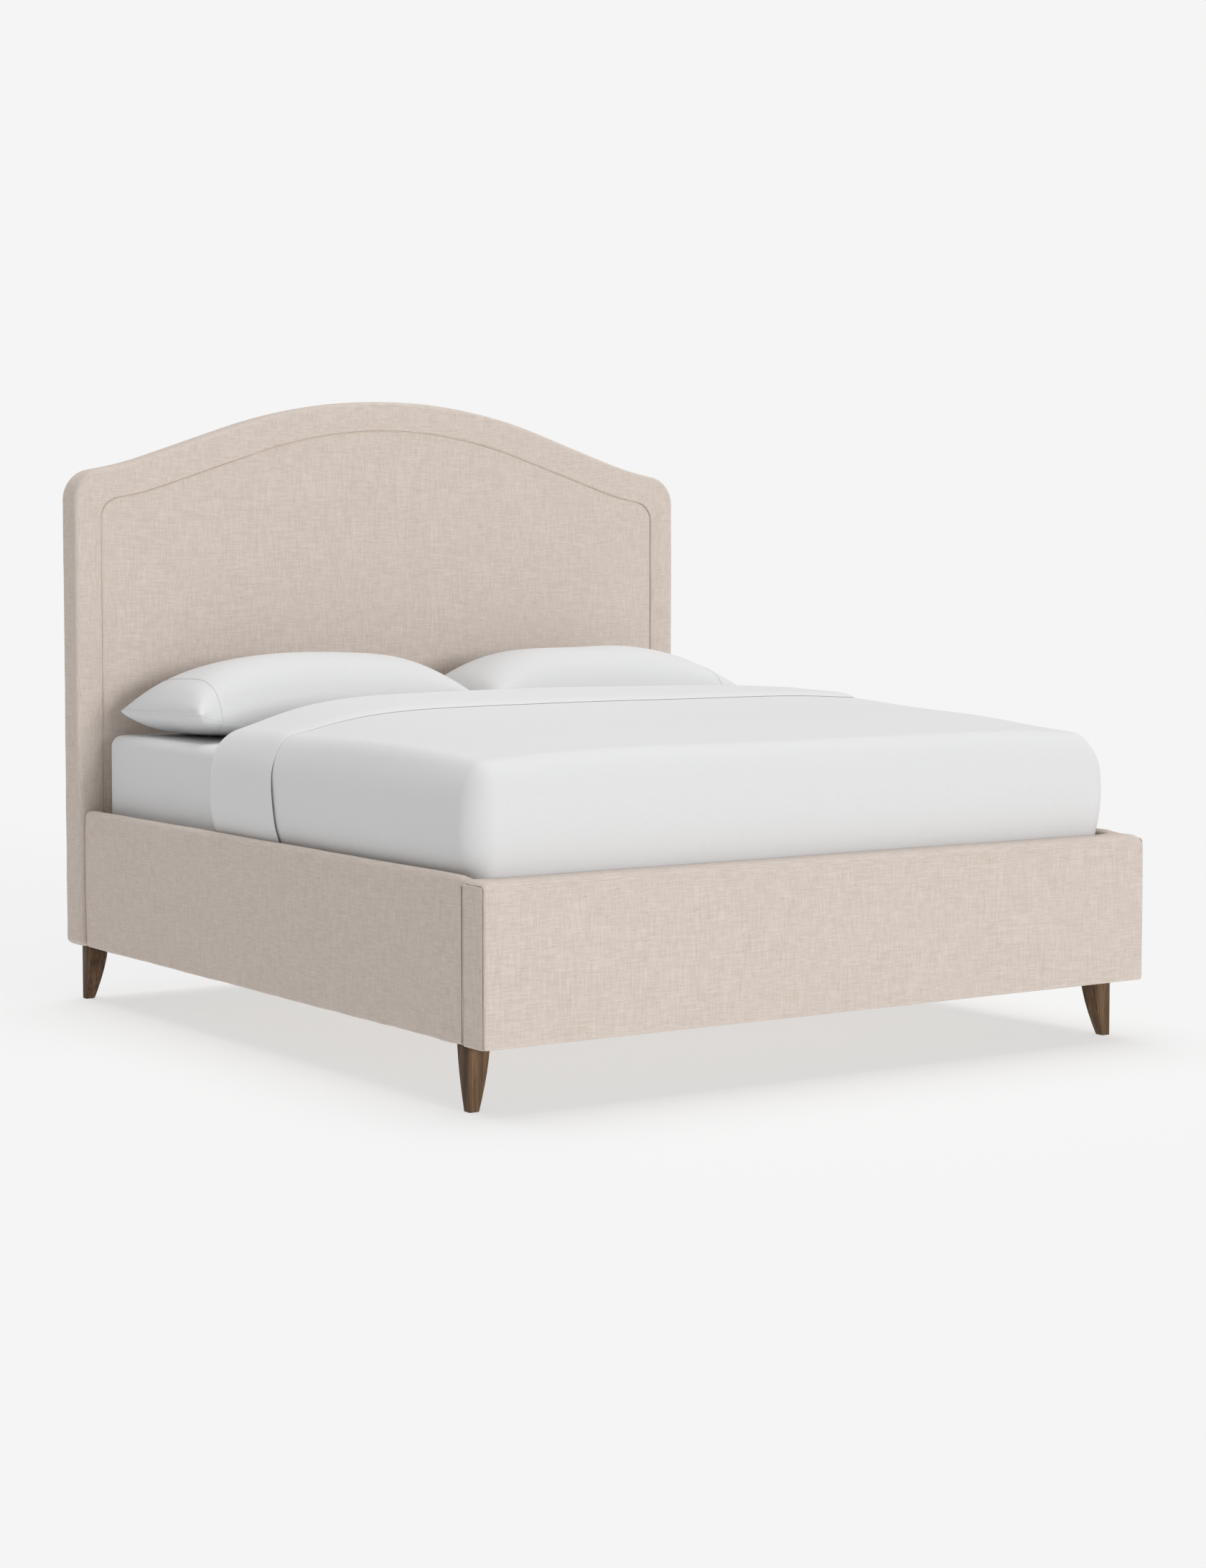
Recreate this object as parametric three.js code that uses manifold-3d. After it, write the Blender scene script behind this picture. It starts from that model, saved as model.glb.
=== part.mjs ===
// Upholstered headboard bed with its mattress and bedding. Millimetres, +Z up.
// +X is the right side seen from the foot, +Y points to the headboard, the floor is Z = 0.
import * as THREE from "three";
import { mergeVertices } from "three/addons/utils/BufferGeometryUtils.js";
import Module from "manifold-3d";

const wasm = await Module();
wasm.setup();

// ---- driving dimensions ----
const GAP = 0.3; // air left between touching pieces
const BASE_Z = 157; // underside of the upholstery
const TIMBER_Z = 160; // underside of the boards, above the leg plates

const HEAD_FRONT = 1037; // crown of the padded border
const HEAD_PANEL = 1046; // face of the flat inner panel
const HEAD_CORE = 1066.7; // front of the core board
const HEAD_FRAME = 1079; // front of the timber frame behind the core board
const HEAD_CLOTH = 1126.3; // front of the dust cloth
const HEAD_BACK = 1131;
const WRAP = 12; // upholstery thickness round the edge of the core board
const STILE_WIDTH = 70;
const STILE_TOP = 1380;
const CROSS_RAIL_HEIGHT = 90;
const CROSS_RAIL_LOW = 300;

// Camelback outline: crest arc, straight flank, hollow arc, rounded shoulder.
const OUTLINE = {
  half: 1030, crestZ: 1727.5, crestR: 1667.4, flankX: 527, hollowX: 782,
  hollowR: 1123, shoulderR: 90, bottomZ: BASE_Z, footR: 20,
};
// Seam line between the padded border and the inner panel, open at the bottom.
const SEAM = {
  half: 949, crestZ: 1640.8, crestR: 1444.4, flankX: 448, hollowX: 765,
  hollowR: 844.9, shoulderR: 60, bottomZ: BASE_Z, footR: 0.5,
};
const WELT_WIDTH = 4;

const FOOT_FRONT = -1131;
const FOOT_BACK = -1039.5;
const FOOT_TOP = 540;
const FOOT_PAD = 12;
const FOOT_BOARD = 18;
const FOOT_LINING = 2;
const STRIP = 10; // thickness of the upholstered end strips
const STRIP_TOP = 530;

const SIDE_FACE = 1015; // outer face of the side rails and of the footboard ends
const RAIL_TOP = 546;
const RAIL_PAD = 10;
const RAIL_BOARD = 21;
const RAIL_LINING = 2;
const RAIL_FOOT = -1039;
const RAIL_HEAD = 1036.5;
const LEDGER_TOP = 440;

const SLAT_COUNT = 10;
const SLAT_WIDTH = 100;
const SLAT_THICK = 20;
const SLAT_HALF = 975;
const SLAT_FIRST = -905;
const SLAT_LAST = 935;

const LEG_OUTER_X = 994.6;
const LEG_FRONT_Y = -1031.2;
const LEG_REAR_Y = 1105;
const LEG_TOP = 156.4;
const PLATE_Z = 156.7;
const PLATE_THICK = 3;
// [height, width] of a leg, whose inner faces curve in towards the foot
const LEG_TAPER = [[0, 25.5], [3, 27], [28, 33.9], [58, 41.2], [88, 47.6], [120, 52.9], [LEG_TOP, 57]];

const BEAM_HALF = 22;
const BEAM_LOW = 370;
const CENTRE_LEG_Y = [-270, 400];
const CENTRE_LEG_HALF = 22.5;
const CENTRE_LEG_LOW = 26;
const STEM_R = 5;
const STEM_BORE_R = 7;
const STEM_TOP = 60;

const MATTRESS = { half: 955, foot: -1016, head: 1006, low: 461, high: 760 };
const SHEET = 2; // fitted sheet thickness
const DUVET = { half: 977, foot: -1031, head: 300, low: 490, high: 825, rise: 60 };
const FOLD_FOOT = -30; // hem of the sheet turned back over the duvet
const PILLOW = { x: 482, halfX: 460, y: 735, halfY: 240, midZ: 838, up: 152, down: 73 };

// ---- materials ----
function material(name, color, roughness, metalness) {
  const m = new THREE.MeshStandardMaterial({ color, roughness, metalness });
  m.name = name;
  return m;
}
const linen = material("linen", 0xcfc2b3, 0.95, 0);
const welting = material("welt_linen", 0xc9bba9, 0.95, 0);
const walnut = material("walnut_stained_wood", 0x4f3a29, 0.55, 0);
const pine = material("pine_timber", 0xc9a877, 0.7, 0);
const board = material("plywood_board", 0xb9925f, 0.75, 0);
const steel = material("coated_steel", 0x3a3b3d, 0.5, 0.8);
const nylon = material("black_nylon", 0x1d1d1f, 0.6, 0);
const dustCloth = material("dust_cloth", 0x2b2a2a, 0.95, 0);
const ticking = material("mattress_ticking", 0xe9e7e2, 0.9, 0);
const cotton = material("white_cotton", 0xeceef1, 0.9, 0);

const bed = new THREE.Group();
bed.name = "upholstered_headboard_bed";

// ---- geometry helpers ----
function addMesh(name, geometry, mat) {
  geometry.computeVertexNormals();
  const mesh = new THREE.Mesh(geometry, mat);
  mesh.name = name;
  bed.add(mesh);
  return mesh;
}

function toSolid(geometry) {
  const bare = new THREE.BufferGeometry();
  bare.setAttribute("position", geometry.getAttribute("position"));
  bare.setIndex(geometry.index);
  const merged = mergeVertices(bare, 1e-3);
  return new wasm.Manifold(new wasm.Mesh({
    numProp: 3,
    vertProperties: merged.attributes.position.array,
    triVerts: new Uint32Array(merged.index.array),
  }));
}

function fromSolid(solid) {
  const mesh = solid.getMesh();
  const position = new Float32Array(mesh.numVert * 3);
  for (let i = 0; i < mesh.numVert; i++) {
    position.set(mesh.vertProperties.subarray(i * mesh.numProp, i * mesh.numProp + 3), i * 3);
  }
  const geometry = new THREE.BufferGeometry();
  geometry.setAttribute("position", new THREE.BufferAttribute(position, 3));
  geometry.setIndex(new THREE.BufferAttribute(new Uint32Array(mesh.triVerts), 1));
  return geometry;
}

// Six times the signed volume of an indexed triangle mesh.
function signedVolume(position, index) {
  let total = 0;
  for (let i = 0; i < index.length; i += 3) {
    const [a, b, c] = [index[i], index[i + 1], index[i + 2]].map((k) =>
      new THREE.Vector3(position[3 * k], position[3 * k + 1], position[3 * k + 2]));
    total += a.dot(b.cross(c));
  }
  return total;
}

// A closed skin over rings of points; flat2d gives a point's place in the plane of the end caps.
function loft(rings, flat2d) {
  const n = rings[0].length;
  const position = rings.flat().flatMap((p) => [p.x, p.y, p.z]);
  let index = [];
  for (let k = 0; k < rings.length - 1; k++) {
    for (let i = 0; i < n; i++) {
      const a = k * n + i;
      const b = k * n + ((i + 1) % n);
      index.push(a, b, a + n, b, b + n, a + n);
    }
  }
  [[0, -1], [rings.length - 1, 1]].forEach(([k, side]) => {
    const contour = rings[k].map(flat2d);
    const turn = Math.sign(THREE.ShapeUtils.area(contour));
    THREE.ShapeUtils.triangulateShape(contour, []).forEach(([a, b, c]) => {
      const own = Math.sign(THREE.ShapeUtils.area([contour[a], contour[b], contour[c]]));
      const keep = own * turn * side > 0;
      index.push(k * n + a, k * n + (keep ? b : c), k * n + (keep ? c : b));
    });
  });
  if (signedVolume(position, index) < 0) index = index.reverse();
  const geometry = new THREE.BufferGeometry();
  geometry.setAttribute("position", new THREE.BufferAttribute(new Float32Array(position), 3));
  geometry.setIndex(index);
  return geometry;
}

function arcPoints(cx, cy, r, from, to, steps) {
  const points = [];
  for (let i = 0; i <= steps; i++) {
    const t = from + ((to - from) * i) / steps;
    points.push(new THREE.Vector2(cx + r * Math.cos(t), cy + r * Math.sin(t)));
  }
  return points;
}

// Rectangle with rounded corners, anticlockwise from the lower left corner.
function roundedRect(x0, x1, y0, y1, r, steps) {
  const q = Math.PI / 2;
  return [
    ...arcPoints(x0 + r, y0 + r, r, 2 * q, 3 * q, steps),
    ...arcPoints(x1 - r, y0 + r, r, 3 * q, 4 * q, steps),
    ...arcPoints(x1 - r, y1 - r, r, 0, q, steps),
    ...arcPoints(x0 + r, y1 - r, r, q, 2 * q, steps),
  ];
}

function boxGeometry(x0, x1, y0, y1, z0, z1) {
  const g = new THREE.BoxGeometry(x1 - x0, y1 - y0, z1 - z0);
  g.translate((x0 + x1) / 2, (y0 + y1) / 2, (z0 + z1) / 2);
  return g;
}

// Board with its four long edges eased along the given axis.
function timber(x0, x1, y0, y1, z0, z1, axis, ease = 2) {
  const spans = { x: [x0, x1], y: [y0, y1], z: [z0, z1] };
  const [u, v] = ["x", "y", "z"].filter((a) => a !== axis);
  const section = roundedRect(...spans[u], ...spans[v], ease, 1);
  const ring = (at) => section.map((p) =>
    new THREE.Vector3().copy({ [u]: p.x, [v]: p.y, [axis]: at }));
  return loft(spans[axis].map(ring), (p) => new THREE.Vector2(p[u], p[v]));
}

// Box with rounded upright corners and rounded top and bottom edges.
function softBox(half, y0, y1, z0, z1, cornerR, topR, lowR, steps = 4) {
  const levels = [];
  for (let i = 0; i <= steps; i++) {
    const t = (Math.PI / 2) * (i / steps);
    levels.push([z0 + lowR * (1 - Math.sin(t)), lowR * (1 - Math.cos(t))]);
  }
  levels.reverse();
  for (let i = 0; i <= steps; i++) {
    const t = (Math.PI / 2) * (i / steps);
    levels.push([z1 - topR * (1 - Math.sin(t)), topR * (1 - Math.cos(t))]);
  }
  const lowFirst = levels.slice(0, steps + 1).sort((a, b) => a[0] - b[0]);
  const rings = [...lowFirst, ...levels.slice(steps + 1)].map(([z, inset]) => {
    const r = Math.max(cornerR - inset, 2);
    return roundedRect(-half + inset, half - inset, y0 + inset, y1 - inset, r, 5)
      .map((p) => new THREE.Vector3(p.x, p.y, z));
  });
  return loft(rings, (p) => new THREE.Vector2(p.x, p.y));
}

// ---- headboard outline ----
// Points of the camelback outline moved inwards by inset, as X, Z pairs.
function camelback(shape, inset, bottomInset = 0) {
  const tilt = Math.asin(shape.flankX / shape.crestR);
  const crestCentre = shape.crestZ - shape.crestR;
  const flankEnd = crestCentre + shape.crestR * Math.cos(tilt)
    - Math.tan(tilt) * (shape.hollowX - shape.flankX);
  const hollowX = shape.hollowX + shape.hollowR * Math.sin(tilt);
  const hollowZ = flankEnd + shape.hollowR * Math.cos(tilt);
  const shoulderX = shape.half - shape.shoulderR;
  const reach = shape.hollowR + shape.shoulderR;
  const shoulderZ = hollowZ - Math.sqrt(reach ** 2 - (hollowX - shoulderX) ** 2);
  const meet = Math.atan2(hollowZ - shoulderZ, hollowX - shoulderX);
  const down = -Math.PI / 2;
  const footR = bottomInset < 0 ? 0.3 : Math.max(shape.footR - bottomInset, 0.3);
  const right = [
    ...arcPoints(shape.half - inset - footR, shape.bottomZ + bottomInset + footR, footR, down, 0, 3),
    ...arcPoints(shoulderX, shoulderZ, shape.shoulderR - inset, 0, meet, 7),
    ...arcPoints(hollowX, hollowZ, shape.hollowR + inset, meet + Math.PI, -Math.PI / 2 - tilt + 2 * Math.PI, 7),
    ...arcPoints(0, crestCentre, shape.crestR - inset, Math.PI / 2 - tilt, Math.PI / 2, 10),
  ];
  const left = right.slice(0, -1).reverse().map((p) => new THREE.Vector2(-p.x, p.y));
  return [...right, ...left];
}

// Solid through camelback outlines at several depths: [y, inset, bottomInset].
function camelbackSolid(shape, levels) {
  const rings = levels.map(([y, inset, bottomInset = 0]) =>
    camelback(shape, inset, bottomInset).map((p) => new THREE.Vector3(p.x, y, p.y)));
  return loft(rings, (p) => new THREE.Vector2(p.x, p.z));
}

// ---- headboard ----
function headboardUpholstery() {
  const edgeR = 26;
  const roll = [0, 0.3, 0.6, 0.85, 1].map((s) => {
    const inset = edgeR * (1 - Math.sin((s * Math.PI) / 2));
    return [HEAD_FRONT + edgeR * (1 - Math.cos((s * Math.PI) / 2)), inset, inset * 0.5];
  });
  const outer = toSolid(camelbackSolid(OUTLINE, [...roll, [HEAD_BACK, 0]]));
  const below = -60;
  const opening = toSolid(camelbackSolid(SEAM, [
    [HEAD_FRONT - 4, -16, below], [HEAD_FRONT + 2, -9, below],
    [HEAD_PANEL, 0, below], [HEAD_CORE + 5, 0, below],
  ]));
  const pocket = toSolid(camelbackSolid(OUTLINE, [
    [HEAD_CORE - GAP, WRAP, below], [HEAD_BACK + 5, WRAP, below],
  ]));
  addMesh("headboard_border_pad", fromSolid(outer.subtract(opening).subtract(pocket)), linen);

  const panelInset = WELT_WIDTH + 2 * GAP;
  addMesh("headboard_inner_pad", camelbackSolid(SEAM, [
    [HEAD_PANEL, panelInset + 4, 3], [HEAD_PANEL + 1.2, panelInset + 1.2, 1],
    [HEAD_PANEL + 4, panelInset, 0], [HEAD_CORE - GAP, panelInset, 0],
  ]), linen);

  const weltOuter = toSolid(camelbackSolid(SEAM, [
    [HEAD_PANEL - 3, GAP + 1.2], [HEAD_PANEL - 1.8, GAP], [HEAD_CORE - GAP, GAP],
  ]));
  const weltInner = toSolid(camelbackSolid(SEAM, [
    [HEAD_PANEL - 8, GAP + WELT_WIDTH - 1.2, below], [HEAD_PANEL - 3, GAP + WELT_WIDTH - 1.2, below],
    [HEAD_PANEL - 1.8, GAP + WELT_WIDTH, below], [HEAD_CORE + 5, GAP + WELT_WIDTH, below],
  ]));
  addMesh("headboard_welt", fromSolid(weltOuter.subtract(weltInner)), welting);
}

function headboardFrame() {
  const inset = WRAP + GAP;
  const lift = TIMBER_Z - BASE_Z;
  addMesh("headboard_core_board", camelbackSolid(OUTLINE, [
    [HEAD_CORE, inset, lift], [HEAD_FRAME - GAP, inset, lift],
  ]), board);
  addMesh("headboard_back_cloth", camelbackSolid(OUTLINE, [
    [HEAD_CLOTH, inset, lift], [HEAD_CLOTH + 1.2, inset, lift],
  ]), dustCloth);
  const outerX = SIDE_FACE;
  const innerX = outerX - STILE_WIDTH;
  const back = HEAD_CLOTH - GAP;
  addMesh("headboard_stile_left", timber(-outerX, -innerX, HEAD_FRAME, back, TIMBER_Z, STILE_TOP, "z"), pine);
  addMesh("headboard_stile_right", timber(innerX, outerX, HEAD_FRAME, back, TIMBER_Z, STILE_TOP, "z"), pine);
  const reach = innerX - GAP;
  const lowTop = CROSS_RAIL_LOW + CROSS_RAIL_HEIGHT;
  const highLow = STILE_TOP - CROSS_RAIL_HEIGHT;
  addMesh("headboard_cross_rail_low", timber(-reach, reach, HEAD_FRAME, back, CROSS_RAIL_LOW, lowTop, "x"), pine);
  addMesh("headboard_cross_rail_high", timber(-reach, reach, HEAD_FRAME, back, highLow, STILE_TOP, "x"), pine);
}

// ---- side rails ----
// Rail section in the X, Z plane for the right-hand side: padded outside, over the top and a short way inside.
function railPadSection() {
  const outer = SIDE_FACE;
  const boardOut = outer - RAIL_PAD + GAP / 2;
  const boardIn = outer - RAIL_PAD - RAIL_BOARD - GAP / 2;
  const inner = boardIn - RAIL_LINING;
  const bullR = 15;
  const boardTop = RAIL_TOP - 14;
  return [
    ...arcPoints(outer - 5, BASE_Z + 5, 5, -Math.PI / 2, 0, 2),
    ...arcPoints(outer - bullR, RAIL_TOP - bullR, bullR, 0, Math.PI / 2, 5),
    ...arcPoints(inner + 12, RAIL_TOP - 12, 12, Math.PI / 2, Math.PI, 4),
    new THREE.Vector2(inner, 472),
    new THREE.Vector2(boardIn, 472),
    new THREE.Vector2(boardIn, boardTop),
    new THREE.Vector2(boardOut, boardTop),
    new THREE.Vector2(boardOut, BASE_Z),
  ];
}

function sideRail(side, name) {
  const section = railPadSection();
  const centreX = SIDE_FACE - 15;
  const ends = [[RAIL_FOOT, 0], [RAIL_HEAD - 12, 0], [RAIL_HEAD - 3.5, 1.5], [RAIL_HEAD, 6]];
  const rings = ends.map(([y, inset]) => section.map((p) => {
    const x = p.x > centreX ? Math.max(p.x - inset, Math.min(p.x, SIDE_FACE - RAIL_PAD + GAP / 2)) : p.x;
    const z = p.y > RAIL_TOP - 13 ? Math.max(p.y - inset, RAIL_TOP - 13.5) : p.y;
    return new THREE.Vector3(side * x, y, z);
  }));
  addMesh(`side_rail_${name}_pad`, loft(rings, (p) => new THREE.Vector2(p.x, p.z)), linen);

  const outer = SIDE_FACE - RAIL_PAD - GAP / 2;
  const inner = outer - RAIL_BOARD + GAP;
  const [x0, x1] = side > 0 ? [inner, outer] : [-outer, -inner];
  addMesh(`side_rail_${name}_board`,
    timber(x0, x1, RAIL_FOOT, RAIL_HEAD - GAP, TIMBER_Z, RAIL_TOP - 14 - GAP, "y", 1), board);

  const ledgerOut = inner - GAP;
  const [l0, l1] = side > 0 ? [ledgerOut - 25, ledgerOut] : [-ledgerOut, 25 - ledgerOut];
  addMesh(`slat_ledger_${name}`, timber(l0, l1, -958, 1028, LEDGER_TOP - 40, LEDGER_TOP, "y"), pine);
}

// ---- footboard ----
function footboard() {
  const lining = FOOT_BACK - FOOT_LINING;
  const roof = FOOT_TOP - 15;
  const section = [
    ...arcPoints(FOOT_FRONT + 7, BASE_Z + 7, 7, -Math.PI, -Math.PI / 2, 2),
    new THREE.Vector2(FOOT_FRONT + FOOT_PAD, BASE_Z),
    new THREE.Vector2(FOOT_FRONT + FOOT_PAD, roof),
    new THREE.Vector2(lining, roof),
    new THREE.Vector2(lining, BASE_Z + 4),
    new THREE.Vector2(FOOT_BACK, BASE_Z + 4),
    ...arcPoints(FOOT_BACK - 16, FOOT_TOP - 16, 16, 0, Math.PI / 2, 4),
    ...arcPoints(FOOT_FRONT + 28, FOOT_TOP - 28, 28, Math.PI / 2, Math.PI, 6),
  ];
  const rings = [-SIDE_FACE, SIDE_FACE].map((x) => section.map((p) => new THREE.Vector3(x, p.x, p.y)));
  const trough = toSolid(loft(rings, (p) => new THREE.Vector2(p.y, p.z)));
  const face = endOutline(SIDE_FACE);
  const stripIn = SIDE_FACE - STRIP - GAP;
  const cut = (side) => {
    const [x0, x1] = side > 0 ? [stripIn, SIDE_FACE + 20] : [-SIDE_FACE - 20, -stripIn];
    return toSolid(boxGeometry(x0, x1, FOOT_FRONT + FOOT_PAD, FOOT_BACK + 20, 100, STRIP_TOP + GAP));
  };
  const pad = trough.intersect(face).subtract(cut(1)).subtract(cut(-1));
  addMesh("footboard_pad", fromSolid(pad), linen);

  [[-1, "left"], [1, "right"]].forEach(([side, name]) => {
    const [x0, x1] = side > 0 ? [SIDE_FACE - STRIP, SIDE_FACE] : [-SIDE_FACE, STRIP - SIDE_FACE];
    const strip = toSolid(timber(x0, x1, FOOT_FRONT + FOOT_PAD + GAP, FOOT_BACK, BASE_Z, STRIP_TOP, "z", 1.5));
    addMesh(`footboard_end_strip_${name}`, fromSolid(strip.intersect(face)), linen);
    const [b0, b1] = side > 0 ? [935, stripIn - GAP] : [-stripIn + GAP, -935];
    const blockFront = FOOT_FRONT + FOOT_PAD + FOOT_BOARD + 2 * GAP;
    addMesh(`footboard_end_block_${name}`,
      timber(b0, b1, blockFront, lining - FOOT_BOARD - 2 * GAP, TIMBER_Z, roof - GAP, "z"), pine);
  });

  const reach = stripIn - GAP;
  const front = FOOT_FRONT + FOOT_PAD + GAP;
  addMesh("footboard_front_board",
    timber(-reach, reach, front, front + FOOT_BOARD, TIMBER_Z, roof - GAP, "x", 1), board);
  addMesh("footboard_back_board",
    timber(-reach, reach, lining - GAP - FOOT_BOARD, lining - GAP, TIMBER_Z, roof - GAP, "x", 1), board);
}

// Prism along Y whose X, Z outline has the footboard's rounded top and bottom corners.
function endOutline(half) {
  const topR = 20;
  const lowR = 9;
  const outline = [
    ...arcPoints(-half + lowR, BASE_Z + lowR, lowR, Math.PI, 1.5 * Math.PI, 3),
    ...arcPoints(half - lowR, BASE_Z + lowR, lowR, -Math.PI / 2, 0, 3),
    ...arcPoints(half - topR, FOOT_TOP - topR, topR, 0, Math.PI / 2, 5),
    ...arcPoints(-half + topR, FOOT_TOP - topR, topR, Math.PI / 2, Math.PI, 5),
  ];
  const rings = [FOOT_FRONT - 5, FOOT_BACK + 5].map((y) => outline.map((p) => new THREE.Vector3(p.x, y, p.y)));
  return toSolid(loft(rings, (p) => new THREE.Vector2(p.x, p.z)));
}

// ---- corner joints ----
function cornerBlocks() {
  [[-1, "left"], [1, "right"]].forEach(([side, name]) => {
    const inner = SIDE_FACE - RAIL_PAD - RAIL_BOARD;
    const [x0, x1] = side > 0 ? [935, inner - GAP] : [GAP - inner, -935];
    addMesh(`corner_block_${name}`, timber(x0, x1, RAIL_FOOT, -962, TIMBER_Z, 430, "z", 3), pine);
  });
}

// Steel angle that ties a side rail to the headboard, with two bolt heads.
function headBrackets() {
  [[-1, "left"], [1, "right"]].forEach(([side, name]) => {
    const outer = SIDE_FACE - RAIL_PAD - RAIL_BOARD - GAP;
    const plate = 3;
    const [a0, a1] = side > 0 ? [outer - plate, outer] : [-outer, plate - outer];
    const [b0, b1] = side > 0 ? [outer - 60, outer] : [-outer, 60 - outer];
    let angle = toSolid(boxGeometry(a0, a1, 950, 1036, 200, 380))
      .add(toSolid(boxGeometry(b0, b1, 1033, 1036, 200, 380)));
    [235, 345].forEach((z) => {
      const head = new THREE.CylinderGeometry(9, 9, 6, 6);
      head.translate(side * (outer - 32), 1031, z);
      angle = angle.add(toSolid(head));
    });
    addMesh(`head_bracket_${name}`, fromSolid(angle), steel);
  });
}

// ---- legs ----
// Square tapered leg; its two outer faces stay upright, its two inner faces curve in.
function taperedLeg(sideX, sideY, name) {
  const cornerY = sideY < 0 ? LEG_FRONT_Y : LEG_REAR_Y;
  const rings = LEG_TAPER.map(([z, width]) =>
    roundedRect(0, width, 0, width, 2, 2).map((p) =>
      new THREE.Vector3(sideX * (LEG_OUTER_X - p.x), cornerY - sideY * p.y, z)));
  addMesh(`leg_${name}`, loft(rings, (p) => new THREE.Vector2(p.x, p.y)), walnut);
  const outer = LEG_OUTER_X - 1;
  const inner = LEG_OUTER_X - 56;
  const [x0, x1] = sideX > 0 ? [inner, outer] : [-outer, -inner];
  const [y0, y1] = sideY > 0 ? [HEAD_CORE + 1, LEG_REAR_Y + 5] : [LEG_FRONT_Y + 1, LEG_FRONT_Y + 56];
  addMesh(`leg_plate_${name}`, timber(x0, x1, y0, y1, PLATE_Z, PLATE_Z + PLATE_THICK, "z", 4), steel);
}

// ---- slats and centre support ----
function slats() {
  const pitch = (SLAT_LAST - SLAT_FIRST) / (SLAT_COUNT - 1);
  for (let i = 0; i < SLAT_COUNT; i++) {
    const y = SLAT_FIRST + i * pitch;
    const z = LEDGER_TOP + GAP;
    const name = `slat_${String(i + 1).padStart(2, "0")}`;
    addMesh(name, timber(-SLAT_HALF, SLAT_HALF, y - SLAT_WIDTH / 2, y + SLAT_WIDTH / 2, z, z + SLAT_THICK, "x", 3), pine);
  }
}

// Steel stirrup that carries one end of the centre beam.
function beamHanger(y0, y1, backY, name) {
  const wide = BEAM_HALF + GAP + 3;
  const outer = toSolid(boxGeometry(-wide, wide, y0, y1, BEAM_LOW - 3 - GAP, LEDGER_TOP - 2));
  const slot = toSolid(boxGeometry(-BEAM_HALF - GAP, BEAM_HALF + GAP, y0 - 5, y1 + 5, BEAM_LOW - GAP, LEDGER_TOP + 5));
  const flangeY = backY > 0 ? [y1 - 3, y1] : [y0, y0 + 3];
  const slotLow = BEAM_LOW - GAP;
  const flange = toSolid(boxGeometry(-wide - 22, wide + 22, ...flangeY, BEAM_LOW - 20, LEDGER_TOP - 2));
  const open = toSolid(boxGeometry(-BEAM_HALF - GAP, BEAM_HALF + GAP, y0 - 5, y1 + 5, slotLow, LEDGER_TOP + 5));
  addMesh(name, fromSolid(outer.subtract(slot).add(flange.subtract(open))), steel);
}

function centreSupport() {
  addMesh("centre_beam",
    timber(-BEAM_HALF, BEAM_HALF, RAIL_FOOT + 0.5, RAIL_HEAD - 1, BEAM_LOW, LEDGER_TOP, "y"), pine);
  beamHanger(RAIL_FOOT, RAIL_FOOT + 45, -1, "beam_hanger_foot");
  beamHanger(RAIL_HEAD - 45, RAIL_HEAD, 1, "beam_hanger_head");
  CENTRE_LEG_Y.forEach((y, i) => {
    const h = CENTRE_LEG_HALF;
    const post = toSolid(timber(-h, h, y - h, y + h, CENTRE_LEG_LOW, BEAM_LOW - GAP, "z"));
    const bore = new THREE.CylinderGeometry(STEM_BORE_R, STEM_BORE_R, 80, 20);
    bore.rotateX(Math.PI / 2).translate(0, y, CENTRE_LEG_LOW + 20);
    addMesh(`centre_leg_${i + 1}`, fromSolid(post.subtract(toSolid(bore))), pine);
    const profile = [[0, 0], [17, 0], [18, 2], [18, 9], [15, 12], [STEM_R, 12], [STEM_R, STEM_TOP], [0, STEM_TOP]];
    const foot = new THREE.LatheGeometry(profile.map(([r, z]) => new THREE.Vector2(r, z)), 20);
    foot.rotateX(Math.PI / 2).translate(0, y, 0);
    addMesh(`levelling_foot_${i + 1}`, foot, nylon);
  });
}

// ---- bedding ----
function mattressAndSheets() {
  const m = MATTRESS;
  addMesh("mattress", softBox(m.half, m.foot, m.head, m.low, m.high, 55, 32, 22), ticking);
  const outerSheet = toSolid(softBox(m.half + SHEET, m.foot - SHEET, m.head + SHEET, m.low + 14, m.high + SHEET, 57, 34, 3));
  const inside = toSolid(softBox(m.half + GAP, m.foot - GAP, m.head + GAP, m.low - 40, m.high + GAP, 55.3, 32.3, 3));
  addMesh("fitted_sheet", fromSolid(outerSheet.subtract(inside)), cotton);
}

// The filling is deepest at the head end, so the top slopes down to the foot.
function slopeTop(geometry) {
  const d = DUVET;
  const position = geometry.getAttribute("position");
  const flatBelow = MATTRESS.high;
  for (let i = 0; i < position.count; i++) {
    const along = (position.getY(i) - d.foot) / (d.head - d.foot);
    const share = Math.max(position.getZ(i) - flatBelow, 0) / (d.high - flatBelow);
    position.setZ(i, position.getZ(i) + d.rise * along * share);
  }
  return geometry;
}

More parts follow.
